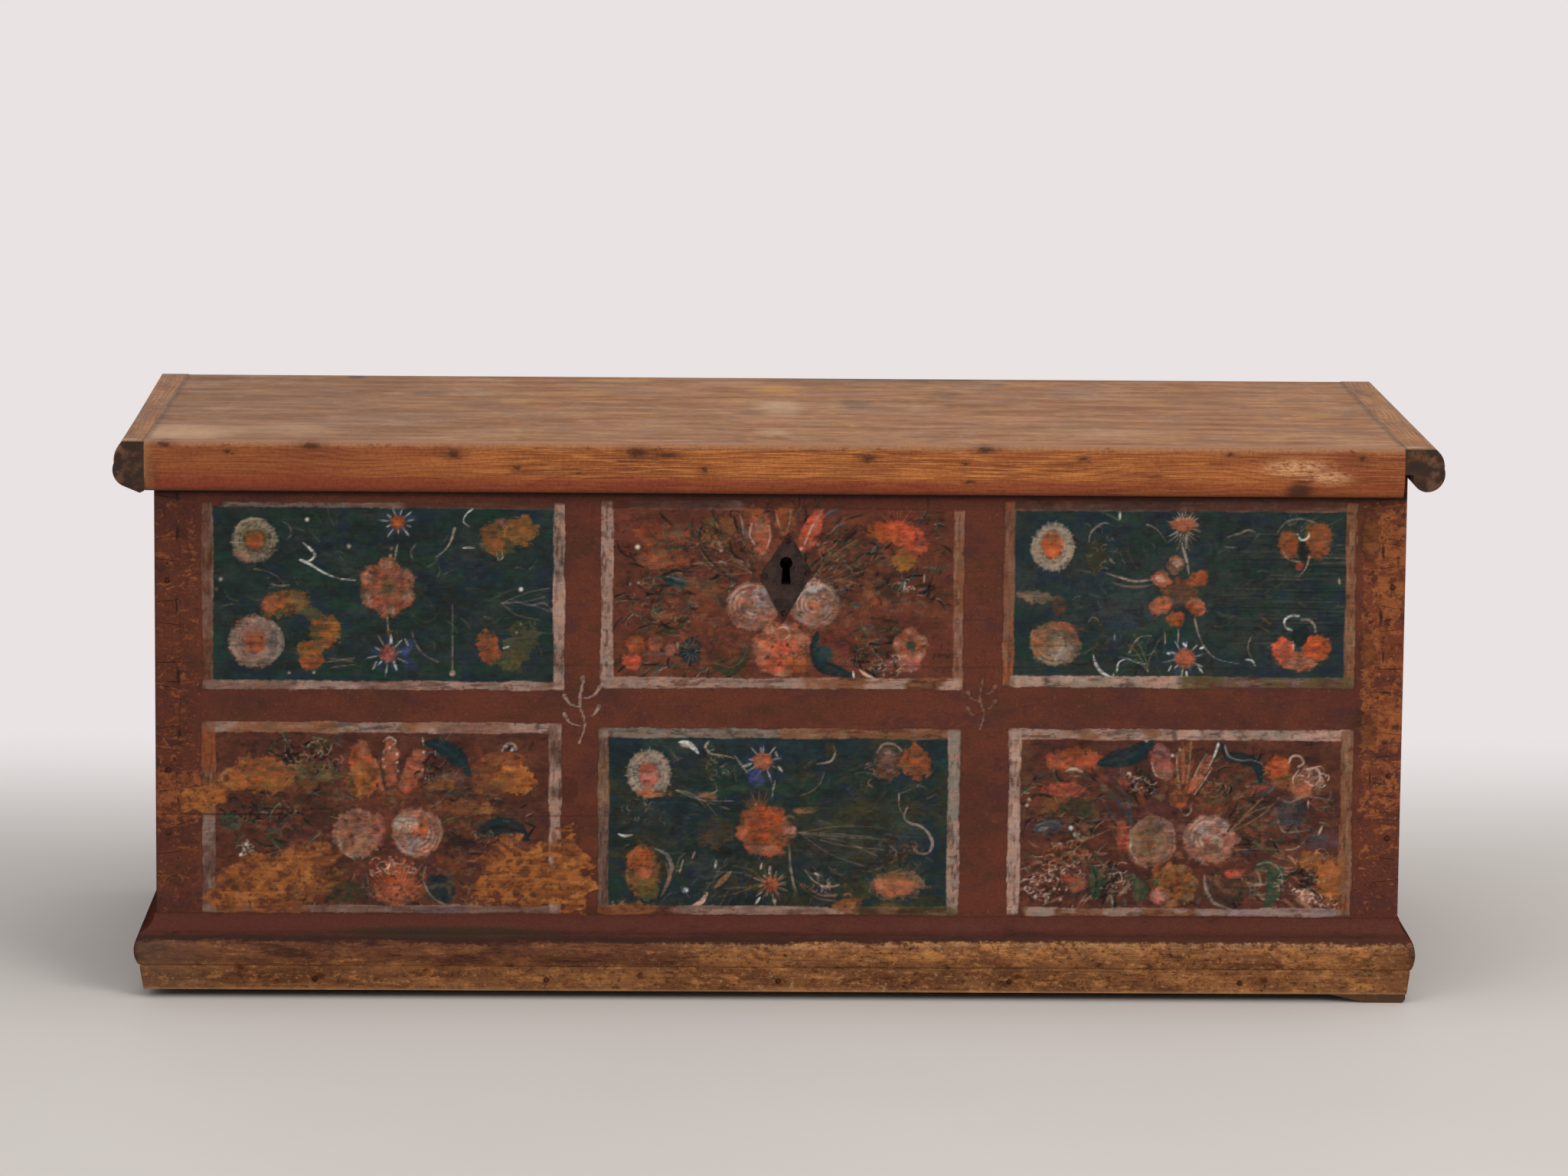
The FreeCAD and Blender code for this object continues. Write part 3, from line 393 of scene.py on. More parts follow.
def mouldingPine(name, seed):
    made, spot = newFinish(name)
    x, _, z = apart(spot)
    grain = pineGrain(spot, "x", seed, (-300.0, 478.0), 3.0, 18.0)
    colour = pineColour(grain, mouldingWood["light"], mouldingWood["dark"], 0.55, 0.7)
    ragged = noise(spot, (0.02, 0.1, 0.25), (seed, 0.0, 0.0), 3.0)
    level = timesPlus(ragged, 9.0, z)
    streaky = noise(spot, (0.02, 0.4, 0.55), (seed, 8.0, 1.0), 4.0, 0.66)
    golden = ramped(calc("ABSOLUTE", minus(x, 60.0)), 420.0, 180.0, (0.45, 1.0))
    colour = mixed(times(golden, ramped(streaky, 0.5, 0.62)), colour, mouldingWood["gold"])
    colour = over(colour, mouldingWood["dark"], streaky, 0.44, 0.34, 0.55)
    colour = over(colour, mouldingWood["shade"], x, -230.0, -460.0, 0.5)
    foot = times(ramped(level, 505.5, 499.0), ramped(x, 150.0, 420.0, (0.75, 0.45)))
    colour = mixed(foot, colour, mouldingWood["red"])
    patches = noise(spot, (0.008, 0.03, 0.05), (seed, 3.0, 0.0), 3.0)
    colour = over(colour, mouldingWood["red"], patches, 0.52, 0.72, 0.5)
    chips = noise(spot, (0.07, 0.1, 0.1), (seed, 5.0, 5.0), 4.0, 0.7)
    crest = timesPlus(chips, 9.0, z)
    colour = over(colour, mouldingWood["top"], crest, 529.0, 532.5, 0.85)
    chipped = times(ramped(crest, 526.0, 529.0), ramped(chips, 0.42, 0.34, (0.0, 0.5)))
    colour = mixed(chipped, colour, mouldingWood["sootAndShade"])
    colour = over(colour, mouldingWood["top"], timesPlus(chips, 24.0, x), -568.0, -582.0, 0.8)
    colour = over(colour, mouldingWood["sootAndShade"], z, 488.0, 483.2, 0.55)
    colour = knots(colour, spot, x, z, mouldingWood["knots"])
    ripple = timesPlus(streaky, 16.0, -8.0)
    u, v = plus(x, times(ripple, 1.6)), plus(z, ripple)
    scraped = ramped(noise(spot, (0.12, 0.3, 0.4), (seed, 3.0, 7.0), 5.0, 0.8), 0.4, 0.54, (0.0, 0.9))
    rub = calc("MAXIMUM", blot(u, v, (482.0, 512.0), (46.0, 13.0), 0.9),
               blot(u, v, (512.0, 503.0), (32.0, 10.0), 0.9))
    colour = mixed(times(rub, scraped), colour, mouldingWood["pale"])
    for middle, half, most in mouldingWood["corners"]:
        colour = spotted(colour, u, v, middle, half, mouldingWood["sootAndShade"], most)
    dirt = noise(spot, (0.06, 0.3, 0.4), (seed, 2.0, 5.0), 4.0, 0.7)
    colour = over(colour, mouldingWood["sootAndShade"], dirt, 0.6, 0.76, 0.55)
    colour = shaded(colour, spot, 0.16, 0.3)
    rough = ramped(grain[1], 0.3, 0.7, (0.66, 0.5))
    dress(made, colour, rough, fineRelief(grain, spot), gloss="wax")
    return made


cleatWood = {"sootAndShade": tone(44, 30, 24), "ends": tone(86, 59, 45)}


def cleatPine(name, seed, side):
    # Waxed pine like the lid, with a grimy rounded outside and dark front ends, partly end grain and partly
    # painted shade.
    made, spot = newFinish(name)
    x, y, z = apart(spot)
    grain = pineGrain(spot, "y", seed, (side * 560.0, 500.0), 3.6, 14.0)
    colour = pineColour(grain, lidWood["light"], lidWood["dark"], 0.45, 0.6)
    grey = noise(spot, (0.05, 0.01, 0.05), (seed, 4.0, 1.0), 4.0)
    colour = over(colour, lidWood["grey"], grey, 0.42, 0.68, 0.5)
    ragged = noise(spot, 0.12, (seed, 0.0, 0.0), 3.0)
    low = timesPlus(ragged, 14.0, z)
    colour = over(colour, cleatWood["ends"], low, 530.0, 520.0, 0.72)
    # The front end face: dark end grain with painted shade, darkest on its inner part beside the moulding's
    # end.
    end = ramped(timesPlus(ragged, 12.0, y), -268.0, -275.0, (0.0, 0.95))
    tint = over(cleatWood["sootAndShade"], cleatWood["ends"], ragged, 0.42, 0.6)
    out = timesPlus(ragged, 6.0, times(x, side))
    tint = over(tint, cleatWood["sootAndShade"], out, 612.0 if side > 0 else 622.0, 604.0)
    u = timesPlus(ragged, 12.0, x)
    colour = spotted(colour, u, y, (side * 600.0, -262.0), (16.0, 10.0), lidWood["pale"], 0.7, 0.8)
    colour = mixed(end, colour, tint)
    inner = timesPlus(ragged, 2.0, times(x, side))
    seam = 591.5 if side < 0 else 583.5
    colour = over(colour, lidWood["sootAndShade"], inner, seam + 5.0, seam + 1.5, 0.5)
    rough = ramped(ragged, 0.3, 0.7, (0.5, 0.68))
    dress(made, colour, rough, fineRelief(grain, spot, 1.4), gloss="wax")
    return made


def shaded(colour, spot, amount, scale=0.42):
    # Fine light and dark specks all over, from dirt in old varnish.
    specks = noise(spot, scale, (2.0, 6.0, 4.0), 4.0, 0.72)
    return brightened(colour, ramped(specks, 0.32, 0.68, (1.0 - amount, 1.0 + amount)))


# Painted case: red-brown ground, worn through to the wood on the outer stiles

casePaint = {
    "ground": tone(85, 44, 33), "warm": tone(98, 51, 36), "cool": tone(74, 43, 37), "dark": tone(50, 30, 25),
    "wood": tone(148, 86, 47), "woodDark": tone(102, 56, 34), "fleck": tone(132, 70, 44),
    "sootAndShade": tone(34, 22, 18), "pink": tone(158, 98, 72),
    "plum": tone(72, 41, 40), "olive": tone(74, 46, 30), "woodRed": tone(108, 54, 36),
    # dark slits where the corner joints show: middle, half sizes
    "slits": (((-563, 478), (2.2, 9)), ((-563, 440), (1.6, 12)), ((-564, 372), (1.4, 14)),
              ((-563, 306), (2.4, 13)), ((-562, 250), (1.8, 9)), ((-563, 187), (1.8, 6)),
              ((-572, 412), (2.4, 2.4)), ((-566, 226), (2, 2.6)), ((568, 430), (2, 12)),
              ((567, 368), (2.6, 10)), ((577, 398), (2.6, 2.4)), ((556, 470), (7, 2.6)),
              ((570, 330), (1.6, 8)), ((560, 214), (1.6, 9)), ((572, 296), (9, 1.6)),
              ((-568, 300), (9, 1.4))),
    # how far the paint is gone from the top to the foot of each outer stile: height, share
    "leftStile": ((70, 0.22), (120, 0.36), (165, 0.4), (180, 0.96), (204, 0.92), (220, 0.46), (300, 0.48),
                  (330, 0.36), (420, 0.46), (480, 0.28), (500, 0.16)),
    "rightStile": ((70, 0.22), (150, 0.42), (190, 0.56), (240, 0.6), (255, 0.86), (292, 0.84), (305, 0.52),
                   (322, 0.86), (450, 0.88), (478, 0.56), (500, 0.3)),
}


def stileWear(z, stops):
    low, high = stops[0][0], stops[-1][0]
    made = put(z.id_data, "ValToRGB")
    made.color_ramp.interpolation = "EASE"
    cells = made.color_ramp.elements
    while len(cells) < len(stops):
        cells.new(0.5)
    for cell, (height, share) in zip(cells, stops):
        cell.position = (height - low) / (high - low)
        cell.color = (share, share, share, 1.0)
    feed(made.inputs[0], calc("DIVIDE", minus(z, low), high - low, clip=True))
    return made.outputs[0]


def caseGround(spot, grain):
    # Colour, roughness and relief of the red-brown paint anywhere on the outside of the case.
    x, y, z = apart(spot)
    broad = noise(spot, (0.006, 0.006, 0.011), (2.0, 5.0, 1.0), 3.0)
    brush = noise(spot, (0.02, 0.5, 0.5), (1.0, 1.0, 7.0), 3.0, 0.6)
    colour = over(casePaint["ground"], casePaint["warm"], broad, 0.36, 0.64)
    colour = over(colour, casePaint["cool"], brush, 0.5, 0.7, 0.5)
    colour = over(colour, casePaint["warm"], brush, 0.46, 0.3, 0.3)
    for shift, tint, most in ((1.0, "plum", 0.7), (4.0, "olive", 0.6), (7.0, "warm", 0.8)):
        there = noise(spot, (0.018, 0.03, 0.035), (shift, 2.0, shift), 5.0, 0.7)
        colour = over(colour, casePaint[tint], there, 0.5, 0.64, most)
    offMiddle = minus(x, 2.5)
    leftWear = times(ramped(offMiddle, -536.0, -552.0), stileWear(z, casePaint["leftStile"]))
    rightWear = times(ramped(offMiddle, 541.0, 552.0), stileWear(z, casePaint["rightStile"]))
    # Away from the front corners the sides have kept more of their paint.
    gone = timesPlus(plus(leftWear, rightWear), ramped(y, -225.0, -130.0, (1.0, 0.4)), 0.1)
    flakes = noise(spot, (0.1, 0.12, 0.16), (6.0, 2.0, 3.0), 5.0, 0.68, 0.6)
    level = plus(flakes, timesPlus(gone, 0.44, -0.22))
    bare = ramped(level, 0.53, 0.62)
    blotchy = noise(spot, (0.07, 0.1, 0.1), (1.0, 9.0, 3.0), 4.0, 0.7)
    wood = over(casePaint["woodRed"], casePaint["wood"], blotchy, 0.4, 0.58)
    wood = over(wood, casePaint["woodDark"], grain[1], 0.5, 0.36, 0.5)
    colour = mixed(times(bare, 0.9), colour, wood)
    tiny = noise(spot, (0.22, 0.3, 0.42), (8.0, 1.0, 4.0), 3.0, 0.7)
    colour = over(colour, casePaint["fleck"], tiny, 0.66, 0.74, 0.55)
    stain = plus(gone, 0.2, clip=True)
    for scale, shift, low in ((0.18, 9.0, 0.56), (0.07, 2.0, 0.54)):
        there = noise(spot, scale, (3.0, 7.0, shift), 4.0, 0.75)
        there = times(ramped(there, low, low + 0.12, (0.0, 0.72)), stain)
        colour = mixed(there, colour, casePaint["dark"])
    glint = noise(spot, (0.22, 0.2, 0.22), (5.0, 1.0, 6.0), 4.0, 0.7)
    colour = mixed(times(ramped(glint, 0.6, 0.68, (0.0, 0.6)), stain), colour, casePaint["pink"])
    colour = over(colour, casePaint["dark"], offMiddle, -536.0, -556.0, 0.2)
    torn = timesPlus(flakes, 5.0, -2.5)
    slits = [(middle, half, casePaint["sootAndShade"], 0.85) for middle, half in casePaint["slits"]]
    colour = spots(colour, plus(x, torn), z, slits)
    # Painted shade: a dark strip just under the lid's moulding, where its shadow falls on the case; higher
    # up, hidden by the lid, it stays faintly dark.
    grimeAndShade = ramped(timesPlus(flakes, 4.0, z), 477.0, 483.0, (0.0, 0.92))
    grimeAndShade = times(grimeAndShade, ramped(z, 484.0, 491.0, (1.0, 0.15)))
    colour = mixed(grimeAndShade, colour, casePaint["sootAndShade"])
    return shaded(colour, spot, 0.12), bare, brush


def caseRelief(spot, grain, bare, brush):
    return timesPlus(bare, -0.35, timesPlus(brush, 0.5, fineRelief(grain, spot, 0.7)))


def caseFinish(name, along, seed, heart):
    # Painted outside, bare pine inside and in the joints.
    made, spot = newFinish(name)
    x, y, _ = apart(spot)
    grain = pineGrain(spot, along, seed, heart)
    colour, bare, brush = caseGround(spot, grain)
    inside = pineColour(grain, bareWood["light"], bareWood["dark"], 0.5, 0.5)
    shown = plus(ramped(y, -252.6, -253.4), ramped(x, -582.6, -583.8), clip=True)
    shown = plus(shown, ramped(x, 587.6, 588.8), clip=True)
    colour = mixed(shown, inside, colour)
    rough = ramped(bare, 0.0, 1.0, (0.5, 0.7))
    dress(made, colour, rough, caseRelief(spot, grain, bare, brush))
    return made


def artFinish(name):
    # The painted panels: brushed colour and height are kept on the mesh, over the same ground.
    made, spot = newFinish(name)
    tree = made.node_tree
    grain = pineGrain(spot, "x", 3.0, (-290.0, 230.0))
    ground, bare, brush = caseGround(spot, grain)
    paint = put(tree, "Attribute", attribute_name="paint").outputs["Color"]
    cover = put(tree, "Attribute", attribute_name="cover").outputs["Fac"]
    lines = noise(spot, (0.035, 0.9, 0.9), (2.0, 8.0, 5.0), 3.0, 0.6)
    laid = shaded(brightened(paint, ramped(lines, 0.34, 0.6, (0.88, 1.04))), spot, 0.08)
    colour = mixed(cover, ground, laid)
    grit = noise(spot, (0.5, 0.5, 0.6), (5.0, 5.0, 5.0), 2.0, 0.7)
    colour = over(colour, casePaint["dark"], grit, 0.64, 0.74, 0.3)
    rough = ramped(lines, 0.3, 0.7, (0.44, 0.6))
    dress(made, colour, rough, caseRelief(spot, grain, bare, brush))
    return made


plinthPaint = {
    "cove": tone(84, 44, 35), "coveWorn": tone(88, 50, 38), "coveDark": tone(42, 27, 22),
    "coveGreen": tone(50, 42, 30), "light": tone(156, 104, 63), "dark": tone(96, 60, 38),
    "red": tone(106, 54, 38), "sootAndShade": tone(46, 30, 22), "grey": tone(104, 82, 66),
    "pale": tone(184, 144, 104), "gold": tone(182, 122, 68), "green": tone(98, 86, 44),
    # small patches on the worn face: place in the noise, where each starts, how strong it gets
    "worn": ((1.0, "red", 0.5, 0.7), (3.0, "gold", 0.5, 0.8), (5.0, "green", 0.56, 0.45),
             (6.0, "sootAndShade", 0.53, 0.8), (9.0, "dark", 0.5, 0.7)),
    "knots": (((-430, 22), (7, 5)), ((-128, 24), (5, 6)), ((-470, 17), (4, 3)), ((230, 24), (6, 4)),
              ((462, 22), (6, 5)), ((-330, 28), (5, 3)), ((-505, 30), (6, 4)), ((-250, 33), (9, 2.4))),
}


def plinthFinish(name, along, seed, gloss="bare"):
    made, spot = newFinish(name)
    x, _, z = apart(spot)
    grain = pineGrain(spot, along, seed, (-300.0 if along == "x" else 560.0, 20.0), 3.0, 14.0)
    colour = pineColour(grain, plinthPaint["light"], plinthPaint["dark"], 0.3, 0.6)
    for shift, tint, low, most in plinthPaint["worn"]:
        patch = noise(spot, (0.035, 0.06, 0.08), (seed, shift, 2.0 + shift), 7.0, 0.82)
        colour = over(colour, plinthPaint[tint], patch, low, low + 0.12, most)
    sooty = noise(spot, (0.17, 0.2, 0.22), (seed, 6.0, 4.0), 5.0, 0.75)
    colour = over(colour, plinthPaint["sootAndShade"], sooty, 0.55, 0.66, 0.8)
    colour = over(colour, plinthPaint["pale"], sooty, 0.44, 0.32, 0.6)
    left = ramped(timesPlus(sooty, 90.0, x), 60.0, -160.0)
    old = noise(spot, (0.02, 0.05, 0.1), (seed, 4.0, 9.0), 6.0, 0.78)
    nose = ramped(z, 32.0, 38.0, (0.15, 1.0))
    for tint, low in (("coveWorn", 0.34), ("coveDark", 0.5)):
        there = times(times(left, nose), ramped(old, low, low + 0.11, (0.0, 0.7)))
        colour = mixed(there, colour, plinthPaint[tint])
    colour = over(colour, plinthPaint["grey"], x, -500.0, -600.0, 0.35)
    colour = over(colour, plinthPaint["sootAndShade"], x, -597.0, -605.0, 0.75)
    # Painted shade where the rounded right end turns away, mixed with dark end grain and scratches.
    torn = timesPlus(sooty, 34.0, x)
    colour = over(colour, plinthPaint["dark"], torn, 575.0, 618.0, 0.6)
    colour = over(colour, plinthPaint["sootAndShade"], torn, 612.0, 624.0, 0.7)
    edge = noise(spot, (0.012, 0.1, 0.05), (seed, 2.0, 2.0), 7.0, 0.8)
    edge = timesPlus(edge, 16.0, plus(z, ramped(x, -100.0, 200.0, (-4.0, -6.5))))
    edge = timesPlus(sooty, 8.0, edge)
    blotch = noise(spot, (0.03, 0.05, 0.09), (seed, 1.0, 2.0), 5.0, 0.66, 0.5)
    cove = over(plinthPaint["cove"], plinthPaint["coveDark"], blotch, 0.54, 0.7, 0.6)
    shade = times(ramped(edge, 74.0, 67.0), ramped(x, -100.0, 500.0, (0.8, 0.45)))
    cove = mixed(shade, cove, plinthPaint["coveDark"])
    cove = spotted(cove, x, z, (-310.0, 64.0), (150.0, 6.0), plinthPaint["coveGreen"], 0.8, 0.6)
    colour = over(colour, shaded(cove, spot, 0.14), edge, 61.0, 65.0, 0.97)
    # The top of the nose is pale: partly rubbed by hands and feet, partly a painted highlight.
    worn = times(ramped(edge, 63.5, 61.5), ramped(edge, 56.0, 60.0))
    worn = times(worn, ramped(x, -150.0, 60.0))
    colour = mixed(times(worn, ramped(sooty, 0.56, 0.44, (0.0, 0.35))), colour, plinthPaint["pale"])
    # Painted shade: a faint dark line in the groove under the nose.
    quirkShade = times(ramped(z, 30.5, 32.0), ramped(z, 35.0, 33.2, (0.0, 0.1)))
    colour = mixed(quirkShade, colour, plinthPaint["sootAndShade"])
    colour = over(colour, plinthPaint["pale"], z, 11.0, 8.4, 0.35)
    # Painted shade: the underside of the plinth is darkened.
    colour = over(colour, plinthPaint["sootAndShade"], z, 8.3, 8.0, 0.8)
    colour = knots(colour, spot, x, z, plinthPaint["knots"])
    rough = ramped(sooty, 0.3, 0.7, (0.55, 0.72))
    dress(made, colour, rough, fineRelief(grain, spot, 1.3), 0.4, gloss=gloss)
    return made


# Wrought iron

ironTones = {"bare": tone(58, 41, 36), "dark": tone(34, 25, 23), "rust": tone(94, 52, 36)}
rustTones = {"bare": tone(76, 44, 32), "dark": tone(50, 32, 25), "rust": tone(112, 64, 38)}


def ironFinish(name, seed, rusty=0.5, gloss="iron", tones=ironTones):
    made, spot = newFinish(name)
    hammer = noise(spot, 0.1, (seed, 0.0, 0.0), 2.0)
    pits = noise(spot, 0.45, (seed, 2.0, 0.0), 4.0, 0.7)
    colour = over(tones["bare"], tones["dark"], hammer, 0.35, 0.65)
    rust = times(ramped(pits, 0.5, 0.68), rusty)
    colour = mixed(rust, colour, tones["rust"])
    metal = ramped(rust, 0.0, 0.4, (0.9 - rusty, 0.0))
    height = timesPlus(hammer, 2.4, times(pits, 0.7))
    dress(made, colour, ramped(pits, 0.3, 0.7, (0.48, 0.72)), height, 0.35, 0.5, gloss, metal)
    return made


# in millimetres and shares: how high a head stands, how far its rim goes into rusted or sound wood
nailHeads = {
    "high": 1.9, "sunk": 1.0, "seat": 0.1, "sides": 12, "crown": 0.92, "lumpy": 0.14, "tilted": 0.25,
    "rings": ((0.94, None), (1.0, 0.22), (0.8, 0.72), (0.38, 0.97)),
    # where the top of a shank lies under its head: least and most level, farthest corner
    "shank": (0.5, 2.6, 5.0),
}


def headSeats(mesh):
    # Each nail's seat: middle, half size and outward direction of the underside of its head.
    least, most, farthest = [size * mm for size in nailHeads["shank"]]
    source = bmesh.new()
    source.from_mesh(mesh)
    seen, seats = set(), []
    for start in source.verts:
        if start in seen:
            continue
        part = [start]
        seen.add(start)
        for vert in part:
            for edge in vert.link_edges:
                other = edge.other_vert(vert)
                if other not in seen:
                    seen.add(other)
                    part.append(other)
        if len(part) != 8:
            continue
        low = [min(vert.co[i] for vert in part) for i in range(3)]
        high = [max(vert.co[i] for vert in part) for i in range(3)]
        size = [b - a for a, b in zip(low, high)]
        axis = size.index(min(size))
        middle = Vector([(a + b) / 2 for a, b in zip(low, high)])
        side = 0
        for vert in source.verts:
            off = vert.co - middle
            if least < abs(off[axis]) < most and off.length < farthest:
                side = 1 if off[axis] > 0 else -1
        seats.append((middle, max(size) / 2, axis, side))
    source.free()
    return seats


def forgeHeads(name, body, finish, depth):
    # Hammered heads, no two alike, stand for the plain square ones, each in its place.
    chance = np.random.default_rng(len(name))
    bm = bmesh.new()
    sides = nailHeads["sides"]
    for middle, half, axis, side in headSeats(nodes[name].data):
        if not side:
            continue
        out = Vector([side * float(i == axis) for i in range(3)])
        a = Vector([float(i == (axis + 1) % 3) for i in range(3)])
        b = out.cross(a)
        lump = 1.0 - nailHeads["lumpy"] * chance.random(sides)
        tilt = nailHeads["tilted"] * (chance.random(2) - 0.5)
        rings = []
        for share, level in nailHeads["rings"]:
            ring = []
            for i in range(sides):
                turn = 2 * math.pi * i / sides
                u, v = math.cos(turn) * share * lump[i], math.sin(turn) * share * lump[i]
                slope = 1.0 + tilt[0] * u + tilt[1] * v - 0.12
                lift = -depth if level is None else nailHeads["high"] * level * slope
                ring.append(bm.verts.new(middle + a * (u * half) + b * (v * half) + out * (lift * mm)))
            rings.append(ring)
        crown = bm.verts.new(middle + out * (nailHeads["high"] * nailHeads["crown"] * mm))
        bm.faces.new(rings[0][::-1])
        for lower, upper in zip(rings, rings[1:]):
            for i in range(sides):
                bm.faces.new((lower[i], lower[(i + 1) % sides], upper[(i + 1) % sides], upper[i]))
        for i in range(sides):
            bm.faces.new((rings[-1][i], rings[-1][(i + 1) % sides], crown))
    bmesh.ops.recalc_face_normals(bm, faces=bm.faces)
    mesh = bpy.data.meshes.new("forged_" + name)
    bm.to_mesh(mesh)
    bm.free()
    for polygon in mesh.polygons:
        polygon.use_smooth = True
    mesh.set_sharp_from_angle(angle=math.radians(40.0))
    mesh.materials.append(finish)
    piece = newObject("forged_" + name, mesh)
    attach(piece, body)
    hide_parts(name)


def paintNodes():
    for i, name in enumerate(("front_board_bottom", "front_board_middle", "front_board_top")):
        wear(name, caseFinish("case_front_" + str(i), "x", 3.0, (-290.0, 230.0)))
    for i, name in enumerate(("left_side_lower", "left_side_upper", "right_side_lower", "right_side_upper")):
        heart = (-620.0 + 1240.0 * (i > 1), 160.0 + 230.0 * (i % 2))
        wear(name, caseFinish("case_side_" + str(i), "y", 5.0 + i, heart))
    bare = {
        "back_board_lower": ("x", (290.0, 130.0)), "back_board_upper": ("x", (290.0, 380.0)),
        "bottom_board_front": ("x", (-170.0, 60.0)), "bottom_board_middle": ("x", (10.0, -20.0)),
        "bottom_board_rear": ("x", (170.0, 60.0)), "runner_left": ("y", (-500.0, 40.0)),
        "runner_right": ("y", (500.0, 40.0)), "runner_pegs": ("z", (0.0, 0.0)),
        "till_bottom": ("y", (-500.0, 350.0)), "till_wall": ("y", (-400.0, 430.0)),
    }
    for i, (name, (along, heart)) in enumerate(bare.items()):
        wear(name, barePine("bare_" + name, along, 11.0 + i, heart))
    lidHearts = (("front", (-210.0, 480.0)), ("middle", (-20.0, 488.0)), ("rear", (190.0, 482.0)))
    for i, (part, heart) in enumerate(lidHearts):
        wear("lid_board_" + part, lidPine("waxed_lid_board_" + part, 31.0 + i, heart))
    wear("lid_front_moulding", mouldingPine("moulding_pine", 41.0))
    wear("lid_cleat_left", cleatPine("cleat_left_pine", 43.0, -1))
    wear("lid_cleat_right", cleatPine("cleat_right_pine", 44.0, 1))
    wear("plinth_front", plinthFinish("plinth_front_pine", "x", 51.0))
    wear("plinth_left", plinthFinish("plinth_left_pine", "y", 52.0, "dry"))
    wear("plinth_right", plinthFinish("plinth_right_pine", "y", 53.0, "dry"))
    iron = ironFinish("wrought_iron", 61.0, 0.35)
    nailIron = ironFinish("nail_iron", 62.0, 0.9, "dry")
    rusted = ironFinish("rusted_iron", 63.0, 0.9, "dry", rustTones)
    bodies = {node: body for body, held in frame["record"]["behaviour"]["bodies"].items() for node in held}
    for name in nodes:
        if name.endswith("_nails"):
            wear(name, nailIron)
            if name in ("plinth_nails", "corner_nails"):
                forgeHeads(name, bodies[name], rusted, nailHeads["sunk"])
            elif name != "bottom_nails":
                forgeHeads(name, bodies[name], nailIron, nailHeads["seat"])
        elif name.startswith(("hinge_", "lock_", "escutcheon")):
            wear(name, iron)


floorTones = {
    "low": tone(206, 199, 194), "high": tone(218, 212, 207), "far": tone(233, 227, 227),
    "fade": (380.0, 1250.0), "half": 30.0,
}


def seenPart(tree, share, lit, seen):
    # What looks at it, straight, in a shine or through glass, gets seen, and what it lights gets lit.
    path = put(tree, "LightPath")
    looks = calc("MAXIMUM", path.outputs["Is Camera Ray"], path.outputs["Is Glossy Ray"])
    looks = calc("MAXIMUM", looks, path.outputs["Is Transmission Ray"])
    made = put(tree, "MixShader")
    for socket, held in zip(made.inputs, (looks if share is None else times(looks, share), lit, seen)):
        feed(socket, held)
    return made.outputs[0]


def makeFloor():
    made, spot = newFinish("studio_floor")
    tree = made.node_tree
    drift = noise(spot, 0.0012, (0.0, 0.0, 0.0), 3.0)
    dress(made, mixed(drift, floorTones["low"], floorTones["high"]), 0.6, gloss="bare")
    # Far behind the chest the floor fades into the pale backdrop.
    glow = put(tree, "Emission")
    feed(glow.inputs["Color"], floorTones["far"])
    far = ramped(apart(spot)[1], *floorTones["fade"])
    both = seenPart(tree, far, tree.nodes["Principled BSDF"].outputs[0], glow.outputs[0])
    feed(tree.nodes["Material Output"].inputs["Surface"], both)
    bm = bmesh.new()
    bmesh.ops.create_grid(bm, x_segments=2, y_segments=2, size=floorTones["half"])
    mesh = bpy.data.meshes.new("studio_floor")
    bm.to_mesh(mesh)
    bm.free()
    mesh.materials.append(made)
    newObject("studio_floor", mesh)


def makeSky():
    world = bpy.data.worlds.new("studio")
    scene.world = world
    world.use_nodes = True
    tree = world.node_tree
    tree.nodes.clear()
    lit, seen = put(tree, "Background"), put(tree, "Background")
    feed(lit.inputs["Color"], (1.0, 1.0, 1.0, 1.0))
    feed(lit.inputs["Strength"], sky["light"])
    feed(seen.inputs["Color"], sky["seen"] + (1.0,))
    feed(put(tree, "OutputWorld").inputs[0], seenPart(tree, None, lit.outputs[0], seen.outputs[0]))


# Brushwork on the front, laid out in millimetres from the middle of each panel

paints = {
    "green": (31, 44, 40), "greenBlue": (30, 44, 48), "greenGrey": (44, 50, 47),
    "greenDark": (24, 32, 30), "greenBright": (28, 54, 42), "blueDark": (28, 39, 52), "red": (82, 45, 34),
    "redWarm": (95, 52, 37), "redDark": (62, 35, 29), "plum": (70, 40, 38), "cream": (152, 134, 116),
    "white": (176, 176, 170), "greyWhite": (130, 116, 104), "pinkWhite": (172, 138, 122),
    "lilac": (140, 116, 112), "pink": (142, 84, 72), "rose": (134, 94, 78), "coral": (170, 76, 54),
    "salmon": (146, 84, 60), "orange": (136, 72, 42), "bright": (158, 72, 38), "amber": (130, 80, 38),
    "ochre": (118, 76, 40), "tan": (126, 92, 68), "olive": (84, 74, 42), "oliveDark": (58, 52, 34),
    "leaf": (52, 62, 44), "teal": (36, 54, 54), "tealDark": (30, 38, 40), "blue": (48, 58, 92),
    "violet": (74, 62, 82), "umber": (62, 42, 32), "dark": (32, 23, 20), "slate": (60, 60, 64),
    "wood": (154, 91, 45), "woodDark": (106, 60, 32), "woodLight": (176, 112, 62),
    "brownRed": (100, 50, 40), "woodRed": (85, 42.5, 34), "tanOrange": (128, 84, 58),
    "dusty": (120, 92, 80), "stone": (147, 121, 108), "brown": (92, 60, 42),
}
tables = {}
turns = [0]


